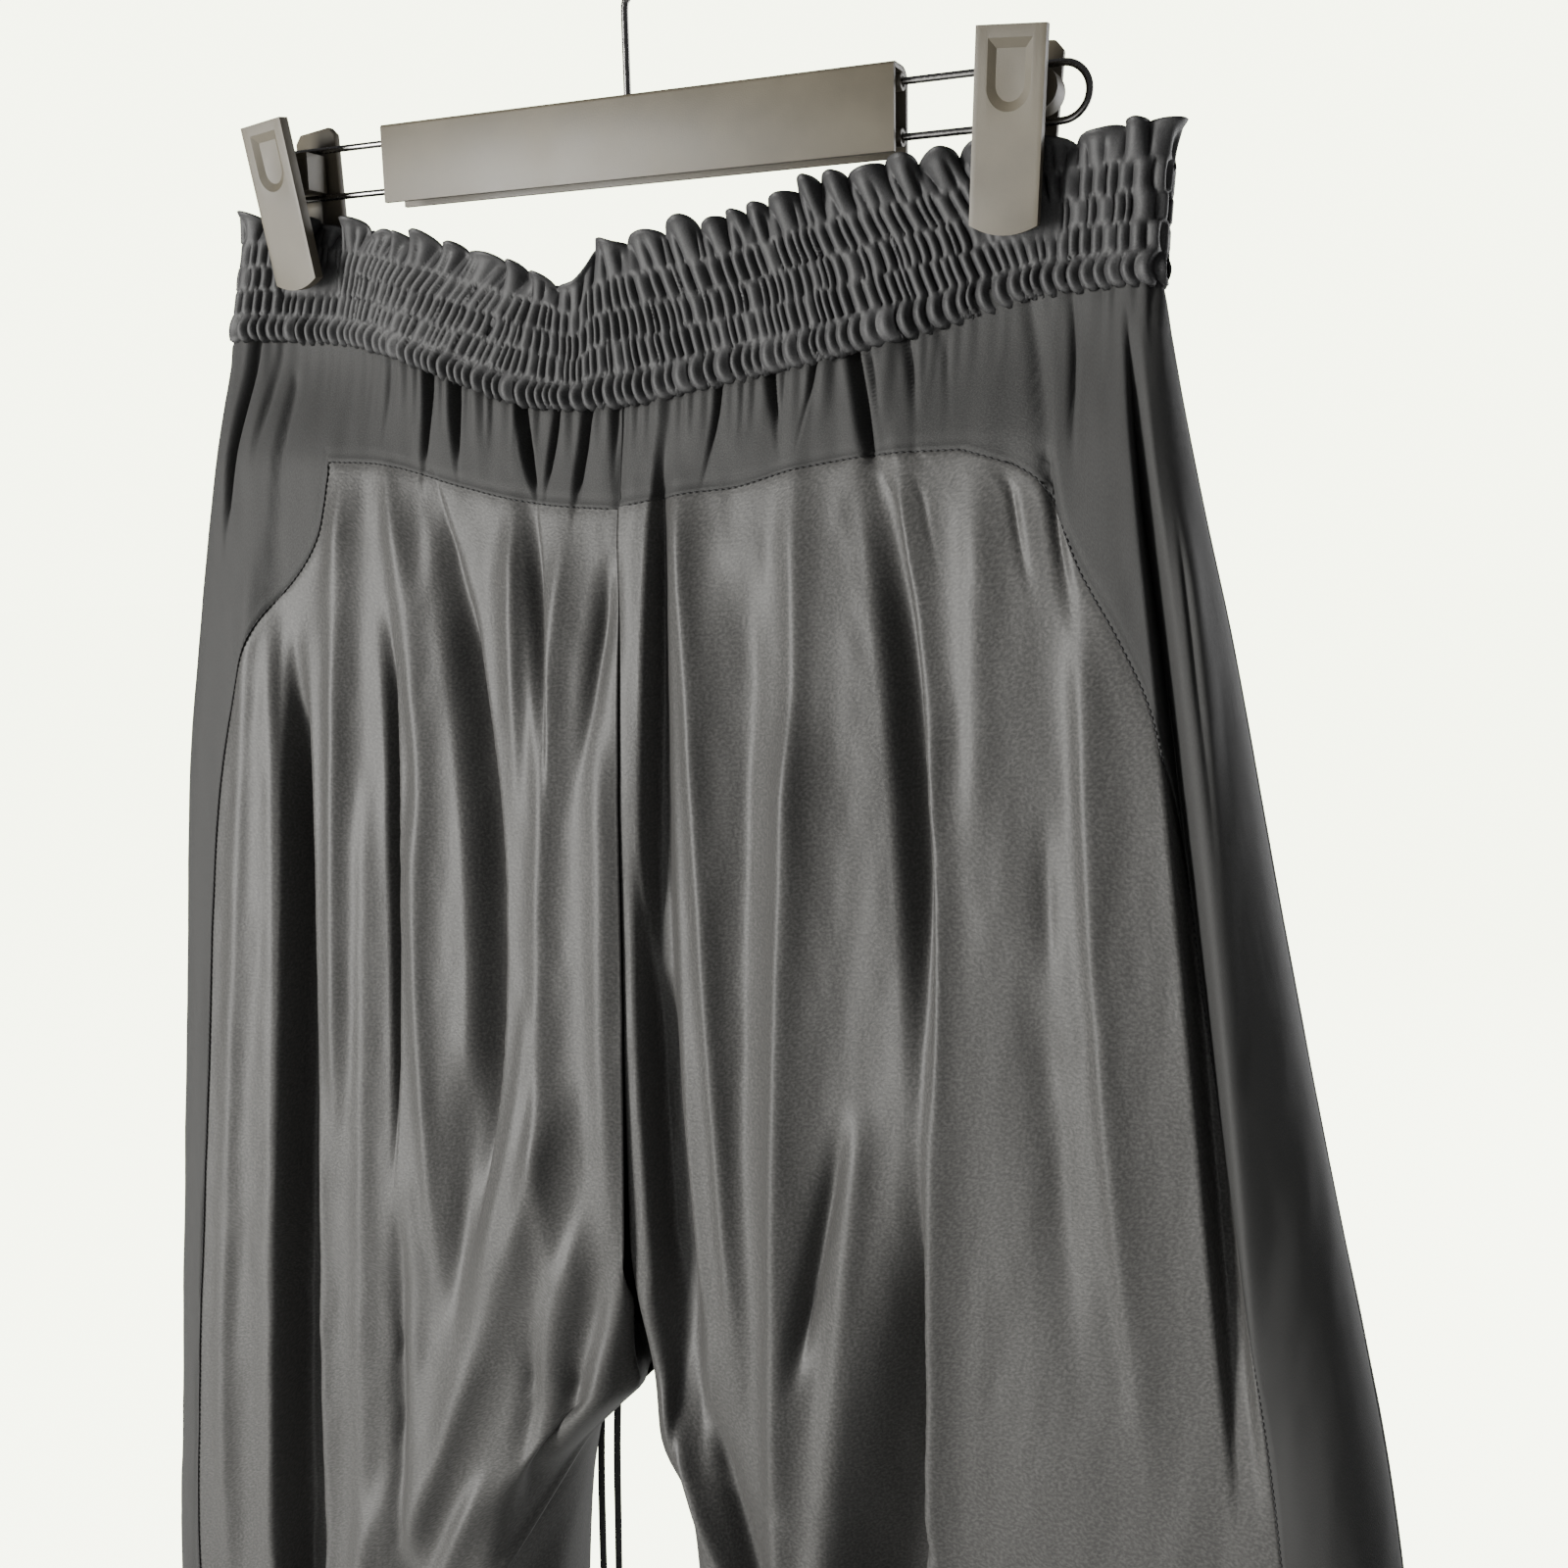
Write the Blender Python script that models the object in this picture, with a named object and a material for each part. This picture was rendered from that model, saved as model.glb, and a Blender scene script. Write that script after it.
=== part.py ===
"""Silk joggers on a clip hanger, hung from a rail.

Metres, +Z up. The origin is where the rail carries the hanger's hook. X runs along the hanger,
and -Y is the side that shows the garment's back. "Left" and "right" are the wearer's: seen from
-Y, the left leg is on the left, at -X.
"""

import math

import bmesh
import bpy
from mathutils import Vector

# Driving sizes of the hanger
WIRE_R = 0.0012
HOOK_R = 0.021
HOOK_WIRE_R = 0.0013
HOOK_START = -55
HOOK_TIP = 205
HOOK_BEND = [(0.06, 0.22), (0.20, 0.45), (0.45, 0.66), (0.72, 0.83)]
HOOK_HEAD_R = 0.0023
HOOK_HEAD_TALL = 0.0015
SHANK = 0.030
SHANK_BEND = 0.008
BAR_LONG = 0.202
BAR_TALL = 0.0276
BAR_DEEP = 0.014
BAR_WALL = 0.0018
BAR_CHAMFER = 0.001
BAR_ROUND = 0.005
BAR_ROUND_STEPS = 4
WEBS_AT = (-0.091, -0.030, 0.030, 0.091)
WEB_THICK = 0.0022
WEB_LIFT = 0.003
RAIL_GAP = 0.0172
WIRE_REACH = 0.163
CLIP_AT = 0.1415
CLIP_WIDE = 0.022
CLIP_LEAN = math.radians(4)
CLIP_SPRING_HALF = 0.0068
# The clip's pieces from the side, about the bar's middle: towards the front, and up
CLIP_FRONT = [
    (-0.0200, 0.0170),
    (-0.0125, -0.0360),
    (-0.0112, -0.0430),
    (-0.0080, -0.0430),
    (-0.0041, -0.0400),
    (-0.0041, -0.0350),
    (-0.0088, -0.0300),
    (-0.0165, 0.0170),
]
CLIP_BACK = [
    (0.0016, 0.0110),
    (0.0016, -0.0106),
    (0.0041, -0.0125),
    (0.0041, -0.0420),
    (0.0070, -0.0420),
    (0.0080, -0.0300),
    (0.0080, 0.0175),
    (0.0041, 0.0175),
    (0.0041, 0.0130),
]
CLIP_SPRING = [
    (-0.0134, 0.0060),
    (-0.0122, -0.0060),
    (0.0013, -0.0060),
    (0.0013, 0.0060),
]

# Driving sizes of the garment
CLOTH = 0.0012
BAND = 0.0026
SEAM_GAP = 0.0007
CROTCH = 0.471
RISE_BEND = 0.110
CROTCH_ROUND = 0.040
WAIST_FOOT = 0.060
LEG_FOOT = 1.086
CUFF_TALL = 0.040
CUFF_AT = 0.157
CUFF_GAP = 0.0006
SIDE_FADE = 0.022
PINCH = 0.85
PINCH_HALF = 0.030
PINCH_EASE = 0.050
CLIP_HOLDS = 0.75 * CLIP_WIDE
CLIP_FADE = 0.012
CENTRE_GAP = 0.00015
CENTRE_SPREAD = 0.0006
SIDE_ROUND = 0.030
DRAWSTRING_R = 0.0016

GAP = 0.0003
# A quarter of an ellipse is about this many times as long as its two half-widths' diagonal
QUARTER = 1.11

# The bar's middle hangs this far under the rail
HOOK_DROP = HOOK_R - HOOK_WIRE_R - HOOK_R * math.sin(math.radians(HOOK_START))
BAR_Z = -(HOOK_DROP + SHANK_BEND + SHANK + BAR_TALL / 2)

# Every drop below is measured down from the bar's middle.
# The legs' outline: drop, how far out each side seam lies, and the depth of the back and front
SHAPE = [
    # drop, left, right, back_left, back_right, front_left, front_right
    (0.000, 0.170, 0.188, 0.012, 0.012, 0.012, 0.012),
    (0.060, 0.182, 0.187, 0.012, 0.012, 0.012, 0.012),
    (0.090, 0.189, 0.193, 0.016, 0.016, 0.015, 0.015),
    (0.130, 0.198, 0.202, 0.020, 0.020, 0.018, 0.018),
    (0.170, 0.206, 0.212, 0.023, 0.022, 0.021, 0.020),
    (0.250, 0.221, 0.229, 0.027, 0.026, 0.025, 0.024),
    (0.340, 0.231, 0.249, 0.032, 0.030, 0.030, 0.028),
    (0.430, 0.239, 0.270, 0.038, 0.032, 0.036, 0.030),
    (0.471, 0.243, 0.278, 0.041, 0.033, 0.039, 0.031),
    (0.530, 0.248, 0.287, 0.044, 0.034, 0.043, 0.032),
    (0.600, 0.256, 0.294, 0.046, 0.035, 0.045, 0.033),
    (0.700, 0.262, 0.296, 0.046, 0.036, 0.045, 0.035),
    (0.800, 0.258, 0.288, 0.044, 0.036, 0.043, 0.035),
    (0.900, 0.246, 0.272, 0.040, 0.035, 0.039, 0.034),
    (1.000, 0.230, 0.250, 0.036, 0.033, 0.035, 0.032),
    (1.060, 0.219, 0.233, 0.034, 0.032, 0.033, 0.031),
    (1.086, 0.206, 0.217, 0.027, 0.027, 0.026, 0.026),
    (1.130, 0.204, 0.214, 0.026, 0.026, 0.025, 0.025),
]
# The legs' inner edges: drop, left and right
INSIDE = [
    # drop, left, right
    (0.471, 0.000, 0.000),
    (0.495, 0.023, 0.002),
    (0.503, 0.030, 0.009),
    (0.523, 0.046, 0.015),
    (0.560, 0.055, 0.018),
    (0.600, 0.060, 0.022),
    (0.700, 0.068, 0.033),
    (0.800, 0.076, 0.046),
    (0.900, 0.082, 0.060),
    (1.000, 0.088, 0.075),
    (1.060, 0.090, 0.084),
    (1.086, 0.096, 0.100),
    (1.130, 0.098, 0.102),
]
# How far the left inseam has rolled round to the back, measured along the cloth
ROLL = [
    # drop, roll
    (0.520, 0.000),
    (0.552, 0.024),
    (0.583, 0.053),
    (0.660, 0.072),
    (0.800, 0.066),
    (1.000, 0.020),
    (1.086, 0.000),
]
# The waist sags between the clips: where, and what share of the full sag
SAG_ACROSS = [
    # x, share
    (-0.170, 0.00),
    (-0.145, 0.06),
    (-0.121, 0.14),
    (-0.099, 0.32),
    (-0.073, 0.61),
    (-0.047, 0.90),
    (-0.030, 1.00),
    (0.002, 1.00),
    (0.033, 0.84),
    (0.081, 0.58),
    (0.119, 0.29),
    (0.148, 0.04),
    (0.170, 0.00),
]
SAG_DOWN = [
    # drop, full sag there
    (0.060, 0.031),
    (0.090, 0.024),
    (0.109, 0.018),
    (0.150, 0.012),
    (0.220, 0.006),
    (0.300, 0.002),
    (0.400, 0.000),
]
# The heading's upper edge: where across, and its drop
HEADING = [
    # x, back, front
    (-0.172, 0.0135, 0.0160),
    (-0.150, 0.0140, 0.0165),
    (-0.121, 0.0190, 0.0210),
    (-0.088, 0.0270, 0.0310),
    (-0.054, 0.0360, 0.0420),
    (-0.029, 0.0440, 0.0500),
    (-0.017, 0.0470, 0.0520),
    (0.003, 0.0360, 0.0500),
    (0.026, 0.0320, 0.0440),
    (0.049, 0.0290, 0.0370),
    (0.084, 0.0210, 0.0280),
    (0.118, 0.0150, 0.0200),
    (0.134, 0.0135, 0.0160),
    (0.160, 0.0135, 0.0160),
    (0.190, 0.0130, 0.0155),
]
# The seam under each yoke, from the middle of the back to the corner: across, then its drops
YOKE_SEAM = [
    # x, left, right
    (0.000, 0.1275, 0.1265),
    (0.028, 0.1258, 0.1220),
    (0.047, 0.1230, 0.1200),
    (0.068, 0.1183, 0.1145),
    (0.100, 0.1103, 0.1100),
    (0.127, 0.1085, 0.1090),
]
# The seam from that corner down the side panel's edge: a drop, then how far out the seam lies
SIDE_SEAM = [
    # drop, left, right
    (0.109, 0.127, 0.127),
    (0.113, 0.127, 0.136),
    (0.118, 0.128, 0.147),
    (0.124, 0.129, 0.155),
    (0.138, 0.133, 0.162),
    (0.151, 0.142, 0.168),
    (0.172, 0.163, 0.181),
    (0.195, 0.175, 0.192),
    (0.240, 0.188, 0.202),
    (0.293, 0.196, 0.211),
    (0.369, 0.203, 0.226),
    (0.445, 0.210, 0.240),
    (0.520, 0.217, 0.250),
    (0.600, 0.224, 0.258),
    (0.700, 0.227, 0.261),
    (0.800, 0.221, 0.254),
    (0.900, 0.208, 0.238),
    (1.000, 0.193, 0.217),
    (1.060, 0.184, 0.201),
    (1.086, 0.174, 0.186),
]
# The largest folds. Each runs from its head to its foot; a negative height is a trough
FOLDS = [
    # face, head_x, head_drop, foot_x, foot_drop, half_width, height
    ("back", -0.120, 0.085, -0.134, 0.400, 0.016, 0.0075),
    ("back", -0.150, 0.105, -0.180, 0.620, 0.018, -0.0085),
    ("back", -0.088, 0.080, -0.117, 0.700, 0.017, 0.0060),
    ("back", -0.060, 0.075, -0.062, 0.330, 0.017, -0.0055),
    ("back", -0.028, 0.085, -0.034, 0.400, 0.013, 0.0045),
    ("back", 0.015, 0.105, 0.020, 0.440, 0.012, -0.0090),
    ("back", 0.036, 0.090, 0.034, 0.380, 0.012, 0.0050),
    ("back", 0.072, 0.085, 0.060, 0.700, 0.018, 0.0065),
    ("back", 0.100, 0.120, 0.096, 0.640, 0.016, -0.0060),
    ("back", 0.126, 0.080, 0.122, 0.720, 0.014, 0.0060),
    ("back", 0.180, 0.075, 0.168, 0.170, 0.011, 0.0070),
    ("back", 0.152, 0.070, 0.158, 0.150, 0.010, -0.0070),
    ("back", 0.185, 0.090, 0.248, 0.480, 0.013, -0.0040),
    ("back", -0.190, 0.640, -0.160, 1.040, 0.018, -0.0070),
    ("back", -0.150, 0.640, -0.132, 1.040, 0.016, 0.0060),
    ("back", 0.180, 0.640, 0.160, 1.050, 0.018, -0.0070),
    ("back", 0.225, 0.560, 0.185, 1.050, 0.016, 0.0060),
    ("front", -0.130, 0.085, -0.150, 0.600, 0.017, 0.0070),
    ("front", -0.095, 0.080, -0.104, 0.420, 0.016, -0.0070),
    ("front", -0.060, 0.085, -0.080, 0.560, 0.016, 0.0060),
    ("front", -0.016, 0.100, -0.020, 0.420, 0.012, -0.0060),
    ("front", 0.032, 0.085, 0.045, 0.520, 0.014, 0.0060),
    ("front", 0.076, 0.090, 0.090, 0.640, 0.017, -0.0070),
    ("front", 0.118, 0.085, 0.150, 0.660, 0.017, 0.0070),
    ("front", 0.170, 0.100, 0.205, 0.600, 0.016, -0.0055),
    ("front", -0.175, 0.560, -0.150, 1.040, 0.017, -0.0070),
    ("front", 0.160, 0.640, 0.150, 1.040, 0.017, 0.0060),
]
FOLD_EASE = 0.055

# Up the waistband: how far up, and how far out. Four shirred channels lie under the frill
BAND_PROFILE = [
    # up, out
    (0.000, -0.0002),
    (0.095, 0.0008),
    (0.190, -0.0003),
    (0.285, 0.0006),
    (0.375, -0.0003),
    (0.465, 0.0006),
    (0.560, -0.0003),
    (0.655, 0.0006),
    (0.750, -0.0003),
    (0.875, 0.0002),
    (1.000, 0.0004),
]
FRILL_FROM = 0.750
FRILL_WAVE = 0.0022
FRILL_TURNS = 2.1

# Across and down, in grid cells
PANEL_COLUMNS = 11
PANEL_ROWS = 24
ROW_CROWD = 1.45
SETTLE_ROWS = 5
STRIP_CELLS = 3
YOKE_SIDE_CELLS = 3
YOKE_FAN = 0.9
YOKE_FADE = 0.080
BAND_SIDE_COLUMNS = 22
CUFF_COLUMNS = 24
CUFF_ROWS = 3
CUFF_WAIST = 0.05

# The drawstring's free ends, from where each leaves the waistband
DRAWSTRING_ENDS = {
    "left": [
        # across, forward, drop
        (-0.013, 0.0150, 0.082),
        (-0.014, 0.0185, 0.085),
        (-0.017, 0.0230, 0.098),
        (-0.022, 0.0300, 0.135),
        (-0.029, 0.0375, 0.200),
        (-0.038, 0.0430, 0.290),
        (-0.048, 0.0490, 0.380),
        (-0.060, 0.0540, 0.470),
        (-0.070, 0.0565, 0.550),
        (-0.073, 0.0570, 0.620),
        (-0.073, 0.0560, 0.690),
    ],
    "right": [
        # across, forward, drop
        (0.013, 0.0150, 0.080),
        (0.012, 0.0185, 0.083),
        (0.006, 0.0240, 0.096),
        (-0.006, 0.0320, 0.135),
        (-0.018, 0.0390, 0.200),
        (-0.030, 0.0435, 0.290),
        (-0.042, 0.0500, 0.380),
        (-0.054, 0.0555, 0.470),
        (-0.063, 0.0590, 0.550),
        (-0.066, 0.0600, 0.615),
        (-0.067, 0.0590, 0.672),
    ],
}
DRAWSTRING_STEP = 0.0105

SIDES = {"left": -1, "right": 1}
FACES = {"back": -1, "front": 1}


def clear_scene():
    for old in list(bpy.data.objects):
        bpy.data.objects.remove(old, do_unlink=True)


def ease(share):
    share = min(max(share, 0.0), 1.0)
    return share * share * (3 - 2 * share)


def table(rows, at, column=1):
    """A column of a table at a place between its rows, on a smooth curve."""
    if at <= rows[0][0]:
        return rows[0][column]
    for i in range(len(rows) - 1):
        if at <= rows[i + 1][0]:
            break
    else:
        return rows[-1][column]
    x0, x1 = rows[i][0], rows[i + 1][0]
    y0, y1 = rows[i][column], rows[i + 1][column]
    slope = (y1 - y0) / (x1 - x0)
    before = slope if i == 0 else (y1 - rows[i - 1][column]) / (x1 - rows[i - 1][0])
    after = slope if i + 2 == len(rows) else (rows[i + 2][column] - y0) / (rows[i + 2][0] - x0)
    s = (at - x0) / (x1 - x0)
    h = x1 - x0
    return (
        y0 * (1 + 2 * s) * (1 - s) ** 2
        + before * h * s * (1 - s) ** 2
        + y1 * s * s * (3 - 2 * s)
        + after * h * s * s * (s - 1)
    )


def material(name, colour, rough, metal=0.0):
    made = bpy.data.materials.new(name)
    made.use_nodes = True
    shader = made.node_tree.nodes["Principled BSDF"]
    shader.inputs["Base Color"].default_value = (*colour, 1.0)
    shader.inputs["Roughness"].default_value = rough
    shader.inputs["Metallic"].default_value = metal
    return made


# The garment's surface


def pinch(x, drop):
    """The clips press the back and the front of the waist together."""
    near_clip = math.exp(-(((abs(x) - CLIP_AT) / PINCH_HALF) ** 6))
    return 1 - PINCH * near_clip * (1 - ease((drop - WAIST_FOOT) / PINCH_EASE))


def clipped(x):
    """1 between a clip's plates, 0 away from them."""
    return 1 - ease((abs(abs(x) - CLIP_AT) - CLIP_HOLDS) / CLIP_FADE)


def section(side, face, drop):
    """One leg's half section: inner edge, inner round, side round, side seam, depth and seam depth."""
    left = side < 0
    outer = table(SHAPE, drop, 1 if left else 2)
    column = (3 if left else 4) if face < 0 else (5 if left else 6)
    deep = table(SHAPE, drop, column)
    up = min(max((CROTCH - drop) / RISE_BEND, 0.0), 1.0)
    held = math.sqrt(1 - (1 - up) ** 2)
    inner = CENTRE_GAP + CENTRE_SPREAD * (1 - held)
    if drop > CROTCH:
        inner += table(INSIDE, drop, 1 if left else 2)
    bend = CROTCH_ROUND * math.sqrt(max(1 - held * held, 0.0))
    bend = min(bend, (outer - inner) / 2)
    return inner, bend, min(deep, SIDE_ROUND), outer, deep, held


def half_lengths(inner, bend, turn, outer, deep, held):
    first = QUARTER * math.hypot(bend, deep * (1 - held)) if bend > 0 else 0.0
    last = QUARTER * math.hypot(turn, deep)
    return first, outer - turn - inner - bend, last


def along(side, face, girth, drop):
    """A point of the smooth section at this distance along the cloth from the inner edge."""
    inner, bend, turn, outer, deep, held = section(side, face, drop)
    first, flat, last = half_lengths(inner, bend, turn, outer, deep, held)
    if girth < first:
        angle = girth / first * math.pi / 2
        x = inner + bend * (1 - math.cos(angle))
        y = deep * (held + (1 - held) * math.sin(angle))
        out = (-(1 - held) * deep * math.cos(angle), bend * math.sin(angle))
    elif girth < first + flat:
        x, y, out = inner + bend + girth - first, deep, (0.0, 1.0)
    else:
        angle = (girth - first - flat) / last * math.pi / 2
        x = outer - turn + turn * math.sin(angle)
        y = deep * math.cos(angle)
        out = (deep * math.sin(angle), turn * math.cos(angle))
    size = math.hypot(*out) or 1.0
    return x, y, out[0] / size, out[1] / size, inner + bend + girth - first, first + flat + last


def fold_height(face, x, drop):
    """How far the folds push the cloth out at this place."""
    total = 0.0
    for side_name, head_x, head, foot_x, foot, half, height in FOLDS:
        if FACES[side_name] != face or not head < drop < foot:
            continue
        line = head_x + (foot_x - head_x) * (drop - head) / (foot - head)
        fade = ease((drop - head) / FOLD_EASE) * ease((foot - drop) / (2 * FOLD_EASE))
        total += height * fade * math.exp(-(((x - line) / half) ** 2))
    return total


def surface(side, face, share, drop):
    """A point of the cloth. share runs from 0 at the inner edge to 1 at the side seam.

    Past either end it carries on round the leg to the other face.
    """
    roll = table(ROLL, drop) if side < 0 and 0.520 < drop < LEG_FOOT else 0.0
    whole = along(side, face, 0.0, drop)[5]
    if face < 0:
        girth = roll + share * (whole - roll)
    else:
        girth = -roll + share * (whole + roll)
    on = face
    if girth < 0:
        girth, on = -girth, -face
    elif girth > whole:
        past, on = girth - whole, -face
        girth = along(side, on, 0.0, drop)[5] - past
    x, y, out_x, out_y, place, whole = along(side, on, girth, drop)
    rise = ease((whole - girth) / SIDE_FADE)
    push = fold_height(on, side * place, drop) * rise
    squeeze = pinch(x, drop)
    x += out_x * push
    y = (y + out_y * push) * squeeze
    sag = table(SAG_DOWN, drop) * table(SAG_ACROSS, side * x) if drop < 0.4 else 0.0
    return Vector((side * x, on * y, BAR_Z - drop - sag))


def share_at(side, face, x, drop):
    """The share along the section at which the cloth passes this distance from the middle."""
    low, high = 0.0, 1.0
    for _ in range(30):
        mid = (low + high) / 2
        if side * surface(side, face, mid, drop).x < x:
            low = mid
        else:
            high = mid
    return (low + high) / 2


def drop_at(side, x, depth):
    """The drop whose sagged line passes this depth under the bar's middle."""
    drop = depth
    for _ in range(30):
        drop = depth - table(SAG_DOWN, drop) * table(SAG_ACROSS, side * x)
    return drop


def surface_normal(side, face, share, drop):
    step, fall = 0.004, 0.002
    low = 0.0 if drop < CROTCH else share - step
    across = surface(side, face, share + step, drop) - surface(side, face, max(low, share - step), drop)
    down = surface(side, face, share, drop + fall) - surface(side, face, share, drop - fall)
    return (across.cross(down) * (side * face)).normalized()


def seam_line(side_name, face):
    """(share, drop) along the seam: the yoke's stretch, then the side panel's."""
    side = SIDES[side_name]
    column = 1 if side < 0 else 2
    corner = YOKE_SEAM[-1][0]
    line = []
    for i in range(PANEL_COLUMNS + 1):
        x = corner * i / PANEL_COLUMNS
        drop = drop_at(side, x, table(YOKE_SEAM, x, column))
        line.append((share_at(side, face, x, drop), drop))
    line[0] = (0.0, line[0][1])
    top = line[-1][1]
    for j in range(1, PANEL_ROWS + 1):
        drop = top + (LEG_FOOT - top) * (j / PANEL_ROWS) ** ROW_CROWD
        depth = drop + table(SAG_DOWN, drop) * table(SAG_ACROSS, side * corner)
        x = table(SIDE_SEAM, min(depth, LEG_FOOT), column)
        line.append((share_at(side, face, x, drop), drop))
    return line


# Walls


def face_outwards(bm):
    bmesh.ops.recalc_face_normals(bm, faces=bm.faces)
    if bm.calc_volume(signed=True) < 0:
        bmesh.ops.reverse_faces(bm, faces=bm.faces)


def wall(name, grid, thick, look, closed=False):
    """A closed wall round a grid of (point, outward normal) pairs."""
    mesh = bpy.data.meshes.new(name)
    bm = bmesh.new()
    skins = []
    for offset in (thick / 2, -thick / 2):
        skins.append([[bm.verts.new(p + n * offset) for p, n in row] for row in grid])
    rows, columns = len(grid), len(grid[0])
    wrap = columns if closed else columns - 1
    # Both skins of a cell are split along the same diagonal, or a bent cell's skins would cross
    for skin, flip in zip(skins, (False, True)):
        for i in range(rows - 1):
            for j in range(wrap):
                k = (j + 1) % columns
                near, far = skin[i][j], skin[i + 1][k]
                for corners in ([near, skin[i][k], far], [near, far, skin[i + 1][j]]):
                    bm.faces.new(corners[::-1] if flip else corners)
    outer, inside = skins
    edges = [[(i, j) for j in range(wrap + (not closed))] for i in (0, rows - 1)]
    if closed:
        edges = [line + [(line[0][0], 0)] for line in edges]
    else:
        edges += [[(i, j) for i in range(rows)] for j in (0, columns - 1)]
    for line in edges:
        for (i, j), (k, m) in zip(line, line[1:]):
            bm.faces.new([outer[i][j], outer[k][m], inside[k][m], inside[i][j]])
    face_outwards(bm)
    bm.to_mesh(mesh)
    bm.free()
    mesh.materials.append(look)
    mesh.shade_smooth()
    mesh.set_sharp_from_angle(angle=math.radians(40))
    made = bpy.data.objects.new(name, mesh)
    bpy.context.collection.objects.link(made)
    return made


def drawn_in(grid, by=SEAM_GAP / 2):
    """The same grid with its border moved in by half the seam's gap."""
    rows, columns = len(grid), len(grid[0])
    pulled = [list(row) for row in grid]
    for i in range(rows):
        for j in range(columns):
            point, normal = grid[i][j]
            for a, b in ((i + (i == 0) - (i == rows - 1), j), (i, j + (j == 0) - (j == columns - 1))):
                if (a, b) != (i, j):
                    towards = grid[a][b][0] - grid[i][j][0]
                    point = point + towards.normalized() * by
            pulled[i][j] = (point, normal)
    return pulled


def skin_point(side, face, share, drop):
    return surface(side, face, share, drop), surface_normal(side, face, share, drop)


def satin_panel(side_name, face_name, look):
    """The lower leg panel, from the yoke's seam to the ankle."""
    side, face = SIDES[side_name], FACES[face_name]
    line = seam_line(side_name, face)
    top, edge = line[: PANEL_COLUMNS + 1], line[PANEL_COLUMNS:]
    grid = []
    for j in range(PANEL_ROWS + 1):
        row = []
        for i in range(PANEL_COLUMNS + 1):
            across = i / PANEL_COLUMNS
            down = (edge[j][1] - edge[0][1]) / (LEG_FOOT - edge[0][1])
            drop = top[i][1] + (LEG_FOOT - top[i][1]) * down
            settled = ease(j / SETTLE_ROWS)
            start = top[i][0] / top[-1][0]
            share = edge[j][0] * (start + (across - start) * settled)
            row.append(skin_point(side, face, share, drop))
        grid.append(row)
    return wall(f"{face_name}_panel_{side_name}", drawn_in(grid), CLOTH, look)


def yoke_panel(side_name, face_name, look):
    """The yoke and the side panel, cut in one."""
    side, face = SIDES[side_name], FACES[face_name]
    line = seam_line(side_name, face)
    corner = PANEL_COLUMNS + YOKE_SIDE_CELLS
    grid = []
    for i, (share, drop) in enumerate(line):
        if i <= corner:
            far_share, far_drop = (i / corner) ** YOKE_FAN, WAIST_FOOT
        else:
            past = line[i][1] - line[corner][1]
            lift = line[corner][1] - WAIST_FOOT
            far_share, far_drop = 1.0, drop - lift * math.exp(-past / YOKE_FADE)
            if i == len(line) - 1:
                far_drop = LEG_FOOT
        row = []
        for k in range(STRIP_CELLS + 1):
            part = k / STRIP_CELLS
            here = (share + (far_share - share) * part, drop + (far_drop - drop) * part)
            row.append(skin_point(side, face, *here))
        grid.append(row)
    return wall(f"{face_name}_yoke_{side_name}", drawn_in(grid), CLOTH, look)


def waistband(face_name, look):
    """One half of the shirred waistband with its frilled heading, from side seam to side seam."""
    face = FACES[face_name]
    column = 1 if face < 0 else 2
    grid = []
    for up, out in BAND_PROFILE:
        row = []
        for i in range(-BAND_SIDE_COLUMNS, BAND_SIDE_COLUMNS + 1):
            side = -1 if i < 0 else 1
            share = abs(i) / BAND_SIDE_COLUMNS
            foot = surface(side, face, share, WAIST_FOOT)
            normal = surface_normal(side, face, share, WAIST_FOOT)
            outer = table(SHAPE, WAIST_FOOT * (1 - up), 1 if side < 0 else 2)
            x = foot.x * outer / table(SHAPE, WAIST_FOOT, 1 if side < 0 else 2)
            y = foot.y * pinch(x, WAIST_FOOT) / pinch(foot.x, WAIST_FOOT)
            free = 1 - clipped(x)
            frill = FRILL_WAVE * math.sin(i * FRILL_TURNS) * max(up - FRILL_FROM, 0) / (1 - FRILL_FROM)
            head = BAR_Z - table(HEADING, x, column)
            z = foot.z + (head - foot.z) * up
            flat = Vector((normal.x, normal.y, 0)).normalized()
            row.append((Vector((x, y, z)) + flat * (out + frill) * free, flat))
        grid.append(row)
    return wall(f"waistband_{face_name}", drawn_in(grid), BAND, look)


def ankle_cuff(side_name, look):
    """The elasticated cuff that gathers the leg's foot."""
    side = SIDES[side_name]
    grid = []
    for j in range(CUFF_ROWS + 1):
        down = j / CUFF_ROWS
        drop = LEG_FOOT + CUFF_GAP + (CUFF_TALL - CUFF_GAP) * down
        waist = 1 - CUFF_WAIST * math.sin(math.pi * down)
        row = []
        for i in range(CUFF_COLUMNS):
            turn = 2 * i / CUFF_COLUMNS
            face, share = (-1, turn) if turn <= 1 else (1, 2 - turn)
            point = surface(side, face, share, LEG_FOOT)
            normal = surface_normal(side, face, share, LEG_FOOT)
            flat = Vector((normal.x, normal.y, 0)).normalized()
            middle = Vector((side * CUFF_AT, 0, 0))
            ring = Vector((point.x, point.y, 0))
            ring = middle + (ring - middle) * waist
            row.append((Vector((ring.x, ring.y, BAR_Z - drop)), flat))
        grid.append(row)
    return wall(f"ankle_cuff_{side_name}", grid, BAND, look, closed=True)


# The hanger


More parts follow.
